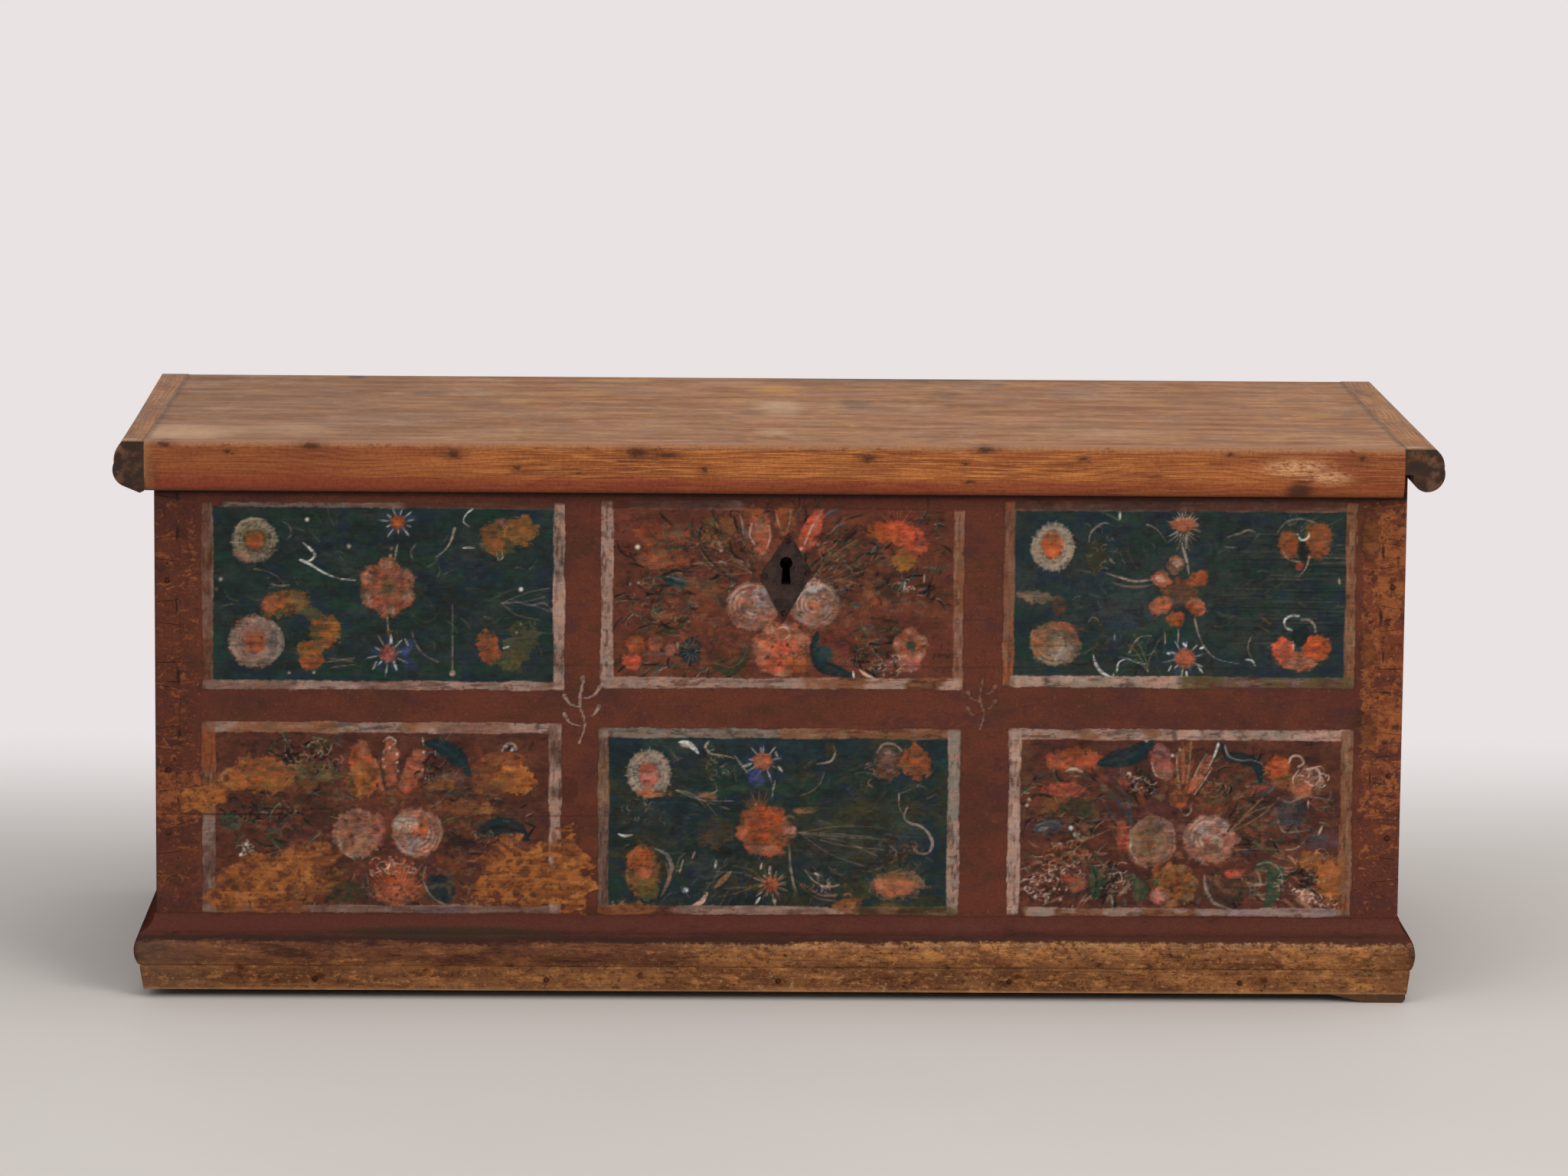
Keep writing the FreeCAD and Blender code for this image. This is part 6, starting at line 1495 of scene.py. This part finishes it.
panels["bottom_middle"] = {
    "middle": (3.5, 167), "outer": (-172.5, 170, -87, 92), "inner": (-161.5, 157.5, -79, 82),
    "ground": ("green", "greenDark", "greenBlue", "greenBright", "oliveDark", "blueDark"),
    "bands": (("left", (0, 1), ("dusty", "tan"), 0.85), ("bottom", (0, 0.22), ("brown", "dusty"), 0.6),
              ("top", (0, 0.6), ("greyWhite", "tan"), 0.9), ("top", (0.5, 1), ("tanOrange", "tan"), 0.9),
              ("right", (0, 1), ("stone", "greyWhite"), 1),
              ("bottom", (0.2, 0.72), ("pinkWhite", "dusty"), 0.85),
              ("bottom", (0.7, 1), ("olive", "tan"), 0.8)),
}
brushwork["bottom_middle"] = (
    (dab, (70, -10, 70, 40, "oliveDark", 0, 0.35, 0.5)),
    (scratches, (10, 130, -60, 20, 50, "slate", 1, 0.5)),
    (dab, (-60, 76, 90, 5, "teal", 0, 0.6, 0.5), (150, 66, 10, 12, "teal", 0, 0.7, 0.5),
     (20, 70, 70, 10, "greenBlue", 0, 0.5, 0.5)),
    (tangle, (70, 0, 80, 70, 110, vineWork, 2, 0.5), (-80, 40, 40, 40, 60, vineWork, 2, 0.5),
     (-110, 0, 46, 30, 50, vineWork, 2, 0.5), (-60, -50, 50, 34, 80, vineWork, 2, 0.5),
     (50, -60, 50, 24, 60, vineWork, 2, 0.6), (110, 20, 44, 50, 50, vineWork, 2, 0.5)),
    (ringFlower, (-124, 48, 22, "cream", "greyWhite", "pink", 1.1, 38)),
    (dab, (-124, 46, 10, 13, "pink", 0, 0.9, 0.5), (-122, 29, 16, 4, "orange", 0, 0.8, 0.5)),
    (stroke, (((-96, 78), (-87, 77), (-77, 67)), 8, "white", 1)),
    (dab, (-90, 76, 6, 3, "white", -20, 0.9)),
    (stroke, (((-68, 79), (-71, 73), (-65, 67), (-56, 66), (-44, 63)), 4.4, "cream", 0.9, "comma")),
    (squiggles, (-60, 54, 12, 14, 14, "greyWhite", 1.4, 0.6)),
    (stroke, (((-62, 40), (-60, 32), (-68, 28), (-78, 26)), 2.6, "stone", 0.7)),
    (dab, (-68, 27, 10, 4, "tan", -8, 0.8, 0.5), (-88, 48, 16, 18, "tealDark", 0, 0.4, 0.5)),
    (hairs, ((-98, 32), ((-70, 16), (-48, 14), (-44, 22), (-60, 8)), "stone", 1.2, 5)),
    (starFlower, (-16, 60, 20, "orange", "salmon", "white", "blue", 9)),
    (dab, (-17, 60, 10, 9, "salmon", 0, 0.8), (-24, 44, 8, 9, "blue", 30, 0.9, 0.5)),
    (stroke, (((-44, 66), (-38, 58), (-31, 49)), 2.6, "greyWhite", 0.8),
     (((-36, 55), (-27, 58)), 5, "white", 1), (((-3, 56), (2, 50)), 4, "white", 1),
     (((-19, 74), (-18, 68)), 3.4, "greyWhite", 0.9), (((-5, 70), (-3, 64)), 3.4, "greyWhite"),
     (((-5, 42), (-7, 32), (-8, 24)), 2.6, "cream", 0.8)),
    (fan, (-20, 10, 24, 60, 150, 10, "ochre", 2.8, 0.8, 0.3)),
    (dots, (((-22, 18), (-17, 14), (-24, 13)), 2.6, "cream")),
    (petalFlower, (-15, -5, 26, 8, "orange", "salmon", "bright", 10, 0.36)),
    (dab, (-14, 0, 15, 14, "bright", 0, 0.8, 0.3), (-15, -5, 27, 26, "umber", 0, 0.2, 0.6, 0.6),
     (-36, -6, 5, 8, "salmon", 0, 0.7), (9, -7, 7, 7, "pink"), (13, -6, 2.4, 4, "pinkWhite", 0, 0.7),
     (-9, -26, 14, 6, "salmon", 0, 0.8, 0.5)),
    (fan, (-12, -18, 18, 200, 330, 10, "rose", 2, 0.7, 0.3)),
    (stroke, (((1, 4), (8, 8), (14, 6)), 2.6, "tan", 0.8)),
    (dab, (23, 13, 11, 3.2, "tan", 5, 0.85, 0.4)),
    (hairs,
     ((18, -8), ((98, -3), (104, -14), (98, -24), (92, -30), (86, -12), (80, -40)), "stone", 1.2, 4, 0.42)),
    (stroke, (((18, 27), (28, 31), (37, 39), (42, 52)), 2.2, "greyWhite", 0.6),
     (((49, 77), (51, 68), (46, 60), (34, 58)), 3.8, "cream", 0.85)),
    (dab, (46, 72, 6, 7, "oliveDark", 0, 0.8), (101, 59, 13, 17, "brown", 0, 0.75, 0.5),
     (102, 60, 9, 12, "dusty", 0, 0.5, 0.6), (128, 60, 14, 18, "orange", 10, 0.9, 0.4)),
    (stroke, (((91, 70), (97, 77), (107, 77), (114, 71)), 2.6, "greyWhite", 0.8, "line")),
    (fan, (101, 66, 13, 50, 140, 7, "stone", 1.2)),
    (squiggles, (88, 50, 10, 14, 8, "rose", 1.2, 0.5)),
    (stroke,
     (((120, 17), (117, 8), (122, 2), (132, -1), (140, -8), (144, -18), (140, -27), (131, -27),
      (127, -23)), 3.4, "greyWhite", 0.85, "line"),
     (((112, 30), (112, 18), (116, 10)), 1.8, "stone", 0.95, "comma")),
    (squiggles, (118, 14, 14, 24, 14, "oliveDark", 1.6, 0.6)),
    (dab, (-62, -8, 17, 15, "brown", 0, 0.5, 0.6), (-130, 6, 26, 13, "greenGrey", 0, 0.8, 0.4)),
    (squiggles, (-128, 10, 22, 12, 12, "stone", 0.9, 0.4)),
    (stroke, (((-153, -10), (-147, -12), (-139, -11)), 4.4, "white")),
    (dab, (-84, 4, 26, 14, "greenBlue", 0, 0.6, 0.5), (-129, -44, 20, 27, "oliveDark", 0, 0.8, 0.25),
     (-129, -44, 16, 25, "ochre", 0, 0.7, 0.3), (-132, -34, 12, 12, "orange", 0, 0.9, 0.4),
     (-128, -49, 8, 7, "salmon", 0, 0.9, 0.4), (-124, -64, 11, 11, "olive", 0, 0.8, 0.4)),
    (stroke, (((-142, -60), (-144, -44), (-136, -24), (-124, -20)), 3.4, "tan", 0.6),
     (((-118, -24), (-107, -30), (-102, -43), (-106, -58)), 5.4, "greyWhite", 0.7),
     (((-108, -38), (-104, -50), (-108, -62), (-112, -70)), 4, "rose", 0.7),
     (((-91, -34), (-95, -48)), 2.6, "cream", 0.8)),
    (dab, (-72, -42, 18, 14, "slate", 0, 0.3, 0.5)),
    (stroke, (((-60, -34), (-61, -43)), 4, "white", 0.9), (((-83, -34), (-80, -26)), 3, "stone"),
     (((-46, -46), (-54, -54), (-62, -62)), 6, "tan", 0.85),
     (((-68, -66), (-74, -75), (-84, -80)), 7, "pinkWhite", 1)),
    (dab, (-89, -64, 3, 3, "white", 0, 0.9)),
    (stroke, (((-94, -60), (-84, -72)), 2, "violet", 0.7)),
    (squiggles, (-50, -66, 26, 14, 14, "oliveDark", 1.6, 0.7)),
    (hairs, ((-14, -56), ((-60, -46), (-52, -62), (-58, -70), (-44, -40)), "tan", 1.2)),
    (starFlower, (-8, -58, 18, "salmon", "orange", "cream", "green", 12)),
    (fan, (-8, -58, 18, 0, 330, 12, "salmon", 2.4, 0.8, 0.3)),
    (stroke, (((-10, -48), (-9, -40)), 4, "white", 1), (((-18, -44), (-17, -37)), 3.4, "cream"),
     (((-18, -70), (-23, -77)), 4.4, "white", 1), (((-4, -70), (-4, -78)), 2, "cream"),
     (((9, -20), (10, -40), (13, -56), (17, -67)), 3.2, "stone", 0.8),
     (((24, -44), (32, -54), (44, -60), (56, -58)), 2, "cream", 0.7, "line"),
     (((28, -62), (40, -68), (54, -68)), 2, "rose", 0.7, "line"), (((32, -46), (38, -50)), 3.4, "white")),
    (squiggles, (38, -58, 14, 12, 14, "stone", 1.2, 0.6)),
    (stroke, (((20, -58), (34, -70), (54, -74)), 1.6, "tan", 0.6, "line")),
    (dab, (112, -58, 26, 14, "tan", 0, 0.65, 0.4), (108, -60, 22, 9, "salmon", 0, 0.85, 0.4)),
    (fan, (112, -62, 34, 20, 158, 24, "ochre", 1.5, 0.6, 0.35)),
    (dab, (110, -78, 26, 4, "olive", 0, 0.6, 0.5)),
    (squiggles, (108, -24, 20, 12, 14, "brown", 1.6, 0.7)),
    (stroke, (((104, -20), (110, -26), (108, -32)), 2.4, "cream", 0.6)),
    (dab, (72, -62, 14, 14, "oliveDark", 0, 0.7, 0.5), (62, -78, 12, 7, "brown", 0, 0.8, 0.5)),
    (squiggles, (66, -76, 14, 10, 10, "tan", 1.6, 0.6), (-146, -76, 18, 10, 12, "tan", 1.4, 0.6)),
)

panels["bottom_right"] = {
    "middle": (381.25, 166.5), "outer": (-163.3, 163.3, -86.5, 93.5), "inner": (-151, 150.5, -78.5, 83),
    "ground": ("red", "plum", "redDark", "redWarm"),
    "bands": (("left", (0, 1), ("stone", "pinkWhite"), 0.95),
              ("top", (0, 0.485), ("pinkWhite", "tanOrange"), 0.9),
              ("top", (0.475, 1), ("stone", "pinkWhite"), 0.95),
              ("right", (0, 1), ("tanOrange", "tan"), 0.95),
              ("bottom", (0.04, 0.6), ("tanOrange", "stone"), 0.95),
              ("bottom", (0.55, 0.97), ("stone", "lilac"), 0.95)),
}
brushwork["bottom_right"] = (
    (dab, (-145, 60, 8, 26, "brown", 0, 0.5, 0.5), (-100, 63, 25, 12, "orange", 0, 0.75, 0.4),
     (-118, 62, 10, 9, "coral", 0, 0.5, 0.5), (-88, 64, 12, 8, "coral", 0, 0.5, 0.5),
     (-108, 35, 22, 7, "coral", 0, 0.6, 0.5)),
    (stroke, (((-110, 52), (-102, 55), (-92, 52)), 4.6, "cream", 0.85), (((-106, 48), (-94, 48)), 2, "tan")),
    (dab, (-118, 18, 14, 9, "ochre", 0, 0.5, 0.6), (-96, 17, 18, 9, "oliveDark", 0, 0.75, 0.5)),
    (dots, (((-145, 20), (-143, 25)), 2.2, "cream")),
    (squiggles, (-132, 14, 18, 14, 14, "brown", 1.6, 0.7), (-110, 10, 20, 10, 14, "umber", 1.6, 0.7)),
    (leaf, (((-78, 60), (-62, 64), (-46, 68), (-32, 78), (-26, 84)), 19, "tealDark", None, "teal")),
    (dots, (((-33, 82),), 2, "stone")),
    (dab, (-56, 46, 16, 12, "plum", 0, 0.7, 0.5), (-53, 44, 6, 5, "coral", 0, 0.6)),
    (dots, (((-49, 50),), 3, "cream")),
    (squiggles, (-36, 42, 15, 10, 22, "dark"), (-36, 42, 14, 9, 14, "stone", 1, 0.7)),
    (hairs, ((-46, 4), ((-74, 40), (-66, 30), (-70, 20), (-60, 38), (-48, 30)), "slate", 2.2, 5, 0.7)),
    (dab, (-18, 62, 10, 19, "pink", 18, 0.85, 0.3)),
    (stroke, (((-28, 62), (-24, 50), (-16, 46)), 3, "pinkWhite", 0.8)),
    (dab, (3, 52, 9, 30, "orange", -4, 0.7, 0.4)),
    (stroke, (((-5, 72), (-3, 52), (0, 32)), 2.2, "pinkWhite", 0.7),
     (((2, 76), (2, 56), (2, 36)), 3.4, "salmon", 0.9), (((9, 82), (8, 60), (5, 36)), 2.4, "cream", 0.7),
     (((28, 68), (18, 50), (8, 32)), 10, "salmon", 0.9),
     (((24, 70), (16, 56), (10, 42)), 2.2, "cream", 0.7),
     (((30, 58), (22, 44), (12, 30)), 1.8, "pinkWhite"),
     (((35, 80), (32, 70), (26, 56)), 6, "white", 0.95, "comma")),
    (dots, (((-1, 74), (-8, 68)), 2.2, "pinkWhite")),
    (dab, (-3, 26, 8, 9, "orange", 0, 0.9, 0.4)),
    (stroke, (((0, 18), (4, 11), (10, 14), (10, 22)), 2.8, "cream", 0.8)),
    (dab, (4, 14, 4, 4, "umber", 0, 0.7)),
    (squiggles, (2, 34, 10, 8, 10, "umber", 1.2, 0.6)),
    (stroke, (((38, 80), (44, 68), (58, 66), (72, 58), (76, 40)), 11, "tealDark"),
     (((41, 78), (45, 68), (56, 64), (68, 64), (78, 60)), 3.2, "greyWhite", 0.95, "comma")),
    (squiggles, (40, 52, 22, 12, 18, "umber", 1.4, 0.6), (36, 34, 20, 12, 18, "oliveDark", 1.6, 0.7),
     (34, 34, 18, 12, 12, "tan", 1, 0.6)),
    (dab, (92, 57, 12, 11, "bright", 0, 0.95, 0.35), (100, 44, 16, 9, "ochre", 0, 0.7, 0.5),
     (122, 46, 14, 13, "rose", 0, 0.6, 0.4), (116, 36, 12, 8, "salmon", 0, 0.7, 0.5)),
    (stroke, (((102, 62), (105, 68), (112, 68), (116, 62), (111, 58)), 3.2, "pinkWhite", 0.9, "line"),
     (((112, 56), (106, 46), (108, 38)), 2.6, "pinkWhite", 0.8)),
    (squiggles, (124, 48, 12, 12, 14, "pinkWhite", 1.4, 0.75)),
    (stroke, (((120, 56), (128, 57), (132, 48), (126, 40), (118, 44)), 2.4, "pinkWhite", 0.8, "line")),
    (dab, (70, 36, 14, 4, "coral", 20, 0.5)),
    (tangle, (-90, 20, 56, 40, 90, leafWork), (84, 14, 56, 44, 90, leafWork),
     (-104, -44, 46, 34, 90, berryWork), (110, -56, 46, 28, 80, berryWork),
     (-66, -56, 30, 24, 40, leafWork), (20, 46, 70, 30, 50, leafWork), (40, -60, 34, 22, 34, leafWork)),
    (rose, (-27, -16, 24, "rose", "tan", "brown", "ochre", 80)),
    (dab, (-28, -14, 15, 14, "olive", 0, 0.3, 0.5)),
    (stroke, (((-44, -2), (-30, 8), (-12, 4), (-4, -8)), 5, "dusty", 0.8),
     (((-46, -10), (-46, -24), (-40, -32)), 3.4, "cream")),
    (dab, (-54, -12, 6, 17, "coral", 8, 0.7, 0.4)),
    (rose, (28, -12, 25, "rose", "pinkWhite", "salmon", "coral", 10)),
    (dab, (30, -2, 15, 10, "lilac", 0, 0.75, 0.5), (36, -14, 8, 5, "cream", -30, 0.6, 0.5)),
    (stroke, (((8, 8), (20, 13), (34, 9)), 4, "brownRed", 0.6)),
    (dab, (52, -12, 8, 5, "pink", 0, 0.9)),
    (stroke, (((52, -22), (76, -21), (98, -22)), 1.6, "dusty", 0.95, "comma")),
    (leaf, (((-138, -4), (-124, 0), (-110, -6)), 13, "slate", "greyWhite")),
    (stroke, (((-134, -4), (-124, -1)), 5, "greyWhite", 0.9)),
    (dots, (((-103, -2), (-99, -8)), 2.8, "white")),
    (stroke, (((-95, -4), (-96, -12), (-90, -14)), 4, "cream", 0.9),
     (((-92, -13), (-80, -9), (-66, -3)), 4, "tan", 0.85, "comma")),
    (dab, (-114, -10, 14, 6, "dark", 0, 0.6, 0.5)),
    (squiggles, (-108, -26, 20, 12, 24, "tan", 1.6, 0.7), (-106, -28, 20, 12, 16, "orange", 1.6, 0.7),
     (-112, -40, 22, 10, 18, "pinkWhite", 1.4, 0.7), (-128, -60, 20, 12, 30, "pinkWhite", 1.5, 0.85),
     (-128, -60, 20, 12, 14, "brownRed", 1.6)),
    (dots,
     (((-141, -60), (-134, -56), (-136, -68), (-126, -66), (-118, -60), (-112, -70),
      (-122, -52)), 2.2, "pinkWhite")),
    (dab, (-97, -55, 10, 9, "salmon", 0, 0.7, 0.5), (-106, -50, 7, 5, "coral", 0, 0.6)),
    (leaf, (((-82, -38), (-78, -52), (-80, -70)), 13, "leaf", None, "dark"),
     (((-44, -50), (-36, -60), (-42, -72)), 14, "leaf")),
    (squiggles, (-66, -50, 12, 18, 18, "dark"), (-58, -52, 14, 16, 18, "stone", 1.2)),
    (stroke, (((-62, -46), (-56, -44), (-54, -52), (-60, -54)), 2.2, "cream", 0.9, "line"),
     (((-72, -38), (-66, -32)), 2.4, "tan", 0.95, "comma"),
     (((-56, -66), (-50, -60), (-46, -55)), 6, "greyWhite", 0.85),
     (((-64, -66), (-62, -76)), 4, "greyWhite")),
    (dab, (-8, -52, 20, 16, "orange", 0, 0.45, 0.6)),
    (petalFlower, (-4, -56, 22, 7, "ochre", "rose", "orange", 5, 0.4)),
    (dab, (-18, -67, 9, 8, "pink", 0, 0.9)),
    (squiggles, (-6, -56, 22, 18, 20, "umber", 1.4, 0.5), (-28, -50, 8, 8, 6, "leaf", 1.6, 0.6)),
    (dab, (46, -60, 20, 14, "umber", 0, 0.75, 0.4), (52, -45, 10, 5, "coral", 0, 0.8)),
    (stroke, (((24, -46), (26, -60), (34, -73), (50, -79)), 4.6, "greyWhite", 0.8)),
    (scratches, (58, 82, -70, -52, 8, "stone", 1.2, 0.7)),
    (leaf, (((72, -36), (90, -42), (92, -58), (82, -76)), 17, "leaf", None, "oliveDark")),
    (stroke, (((74, -36), (86, -34), (96, -42), (98, -52)), 2.6, "greyWhite", 0.6, "line"),
     (((76, -79), (92, -78)), 3.4, "cream")),
    (hairs,
     ((46, -4), ((80, 26), (92, 30), (84, 14), (96, 22), (70, 30), (104, 14)), "umber", 2.4, 5, 0.7),
     ((46, -6), ((84, 20), (92, 26), (78, 28)), "tan", 1.6, 5, 0.7)),
    (dab, (104, 14, 17, 14, "slate", 0, 0.75, 0.5), (116, 16, 10, 12, "dark", 0, 0.4, 0.5)),
    (stroke, (((92, 28), (104, 24), (118, 30), (144, 26)), 2.2, "dusty", 0.7, "line"),
     (((92, 8), (98, -4), (112, -4), (124, -2)), 2.6, "greyWhite", 0.7),
     (((121, 26), (121, 18)), 3, "stone"), (((135, 2), (131, -8)), 3.6, "cream", 0.85)),
    (squiggles, (138, 8, 14, 16, 14, "brown", 1.6, 0.6)),
    (dab, (136, -13, 20, 8, "violet", 0, 0.35, 0.5), (144, -52, 12, 22, "wood", 8, 0.75, 0.5),
     (124, -32, 12, 10, "wood", 0, 0.6, 0.5)),
    (squiggles, (130, -38, 18, 16, 16, "cream", 1.3, 0.5), (118, -50, 14, 12, 14, "dark", 1.6, 0.7)),
    (dab, (119, -66, 9, 8, "rose", 0, 0.6, 0.4)),
    (squiggles, (119, -66, 10, 9, 14, "pinkWhite", 1.4), (98, -58, 8, 12, 12, "pinkWhite", 1.3, 0.7),
     (138, -72, 12, 7, 12, "pinkWhite", 1.3)),
    (dab, (100, -60, 5, 9, "plum", 0, 0.6)),
    (dots, (((112, -62), (118, -70), (126, -64), (130, -72), (142, -74)), 2, "pinkWhite")),
)

# Worn patches that cross borders and stiles, in millimetres on the whole front
frontRubs = (
    (-480, 105, 62, 30, 0.84), (-440, 132, 34, 18, 0.8), (-500, 92, 42, 18, 0.7),
    (-240, 112, 42, 42, 1), (-194, 114, 26, 52, 1), (-172, 82, 26, 9, 0.4),
    (-545, 190, 26, 15, 1), (-520, 204, 22, 10, 0.45), (-258, 206, 30, 12, 0.55),
    (-140, 84, 30, 9, 0.7), (66, 88, 16, 10, 0.6), (-196, 200, 8, 16, 0.35),
    (-300, 182, 30, 7, 0.45), (556, 445, 14, 34, 0.7), (553, 340, 9, 24, 0.5),
    (556, 262, 14, 20, 0.55), (528, 118, 16, 26, 0.4), (-180, 292, 6, 8, 0.2),
)
rubHoles = ((-237, 120, 5.5), (-246, 100, 4), (-230, 98, 3.4), (-466, 116, 5), (-510, 104, 4))

# Small painted sprigs where the stiles cross the middle rail
sprigs = (
    {"at": (-184, 274), "size": 1.0, "colour": "pinkWhite"},
    {"at": (192, 282), "size": 0.8, "colour": "rose"},
)


def paintSprig(canvas, sprig):
    x = sprig["at"][0] - canvas["middle"][0]
    z = sprig["at"][1] - canvas["middle"][1]
    s = sprig["size"]
    stem = [(x + u * s, z + v * s) for u, v in ((-2, -30), (3, -12), (-2, 8), (1, 28))]
    stroke(canvas, stem, 4.0 * s, sprig["colour"], 0.9, "line")
    for side, height in ((-1, -14), (1, -6), (-1, 4), (1, 12)):
        leafLine = [(x + side * u * s, z + (height + v) * s) for u, v in ((17, 12), (11, 3), (1, 0))]
        stroke(canvas, leafLine, 7.5 * s, sprig["colour"], 0.9, "comma")
    dab(canvas, x + s, z + 31 * s, 3.4 * s, 4.4 * s, sprig["colour"], 0, 0.85)


ages = {
    "green": {"specks": ("greenBright", "dark", "leaf", "slate"), "force": 0.6, "boost": 1.22},
    "red": {"specks": ("umber", "oliveDark", "orange", "plum", "tan"), "force": 0.72, "boost": 1.30},
}

skins = {
    "fine": 1.0, "coarse": 1.5, "proud": 0.30, "sink": 0.1, "face": -254.0,
    "xs": (-560.5, -185.0, 193.0, 565.5), "zs": (77.0, 280.0, 505.0),
    "keyhole": (7.0, 408.0, 9.5, 19.0),
    # hairlines where the boards meet: height, from, to and strength
    "joints": ((174, -590, -430, 0.9), (174, -300, -60, 0.35), (318, -590, 590, 0.3), (174, 210, 590, 0.15)),
}


def gridLines(start, end, fineFrom, fineTo):
    # Fine lines over the panel, wider ones over the rails and stiles.
    low = np.linspace(start, fineFrom, max(2, int((fineFrom - start) / skins["coarse"]) + 1))[:-1]
    middle = np.linspace(fineFrom, fineTo, int((fineTo - fineFrom) / skins["fine"]) + 1)
    high = np.linspace(fineTo, end, max(2, int((end - fineTo) / skins["coarse"]) + 1))[1:]
    return np.concatenate((low, middle, high))


def paintJoints(canvas):
    for z, x0, x1, strength in skins["joints"]:
        lx0, lx1, lz = x0 - canvas["middle"][0], x1 - canvas["middle"][0], z - canvas["middle"][1]
        cut, px, pz = near(canvas, lx0, lx1, lz - 3, lz + 3)
        if px.size == 0:
            continue
        wander = lz + 0.5 * (smudge(px, px * 0, 40.0, 9.0, 5) - 0.5)
        ends = rise(px, lx0, lx0 + 20) * rise(-px, -lx1, -lx1 + 60)
        share = strength * ends * rise(-np.abs(pz - wander), -1.3, -0.2)
        share = share * (0.6 + 0.4 * smudge(px, pz, 12.0, 9.0, 6))
        lay(canvas, cut, share, "dark", -0.2)


def paintPanel(name, panel, xRange, zRange):
    turns[0] = 7 * len(name)
    (mx, mz), outer, inner = panel["middle"], panel["outer"], panel["inner"]
    xs = gridLines(xRange[0], xRange[1], mx + outer[0] - 3, mx + outer[1] + 3)
    zs = gridLines(zRange[0], zRange[1], max(mz + outer[2] - 3, zRange[0]), mz + outer[3] + 3)
    canvas = makeCanvas(xs, zs, panel["middle"])
    field(canvas, inner, panel["ground"], 11 + len(name))
    # The fine leaf work lies under the flowers.
    for brush, *touches in sorted(brushwork[name], key=lambda one: one[0] is not tangle):
        for touch in touches:
            brush(canvas, *touch)
    ageing = ages["green" if panel["ground"][0].startswith("green") else "red"]
    rubbed(canvas, inner, 23 + len(name), panel["ground"][1], ageing["specks"], ageing["force"])
    freshened(canvas, inner, panel["ground"][0], ageing["boost"])
    for side, span, colours, strength in panel["bands"]:
        band(canvas, side, outer, inner, span, colours, strength)
    for x, z, rx, rz, amount in frontRubs:
        woodRub(canvas, x - mx, z - mz, rx, rz, amount)
    for x, z, r in rubHoles:
        dab(canvas, x - mx, z - mz, r, r * 0.9, "umber", 0, 0.8, 0.5)
    for sprig in sprigs:
        paintSprig(canvas, sprig)
    paintJoints(canvas)
    return canvas, xs, zs


def makeSkin(name, canvas, xs, zs, finish):
    # A thin shell just proud of the boards that carries the paint and follows its brush marks.
    rows, columns = len(zs), len(xs)
    x, z = np.meshgrid(xs, zs)
    y = skins["face"] - skins["proud"] - np.clip(canvas["height"], -0.18, 0.25)
    points = np.stack((x, y, z), -1).reshape(-1, 3) * mm
    index = np.arange(rows * columns).reshape(rows, columns)
    faces = np.stack((index[:-1, :-1], index[:-1, 1:], index[1:, 1:], index[1:, :-1]), -1).reshape(-1, 4)
    kx, kz, rx, rz = skins["keyhole"]
    middles = points[faces].mean(1) / mm
    faces = faces[np.hypot((middles[:, 0] - kx) / rx, (middles[:, 2] - kz) / rz) > 1]
    mesh = bpy.data.meshes.new(name)
    mesh.from_pydata(points.tolist(), [], faces.tolist())
    bm = bmesh.new()
    bm.from_mesh(mesh)
    shown = np.clip(canvas["colour"], 0.0, 1.0)
    linear = np.where(shown < 0.0405, shown / 12.92, ((shown + 0.055) / 1.055) ** 2.4)
    paint = bm.verts.layers.float_color.new("paint")
    cover = bm.verts.layers.float.new("cover")
    shares = canvas["cover"].reshape(-1).tolist()
    for vert, tint, share in zip(bm.verts, linear.reshape(-1, 3).tolist(), shares):
        vert[paint] = (*tint, 1.0)
        vert[cover] = share
    rim = [edge for edge in bm.edges if edge.is_boundary]
    made = bmesh.ops.extrude_edge_only(bm, edges=rim)
    sunk = [item for item in made["geom"] if isinstance(item, bmesh.types.BMVert)]
    for vert in sunk:
        vert.co.y = (skins["face"] + skins["sink"]) * mm
    back = [item for item in made["geom"] if isinstance(item, bmesh.types.BMEdge) and item.is_boundary]
    bmesh.ops.triangle_fill(bm, edges=back, use_beauty=False)
    loose = [vert for vert in bm.verts if not vert.link_faces]
    bmesh.ops.delete(bm, geom=loose, context="VERTS")
    bmesh.ops.recalc_face_normals(bm, faces=bm.faces)
    bm.to_mesh(mesh)
    bm.free()
    for polygon in mesh.polygons:
        polygon.use_smooth = True
    mesh.set_sharp_from_angle(angle=math.radians(50.0))
    mesh.materials.append(finish)
    piece = newObject(name, mesh)
    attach(piece, "carcass")


def paintFront():
    finish = artFinish("panel_paint")
    xs, zs = skins["xs"], skins["zs"]
    for i, row in enumerate(("bottom", "top")):
        for j, column in enumerate(("left", "middle", "right")):
            panel = panels[row + "_" + column]
            canvas, gx, gz = paintPanel(row + "_" + column, panel, (xs[j], xs[j + 1]), (zs[i], zs[i + 1]))
            makeSkin("paint_" + row + "_" + column, canvas, gx, gz, finish)
            print("stage: painted", row, column, len(gx) * len(gz))


makeCamera()
makeLamps()
makeSky()
makeFloor()
print("stage: camera, light and floor")
paintNodes()
print("stage: finishes on the wood and iron")
paintFront()
print("stage: painted panels")

scene.view_settings.view_transform = "Standard"
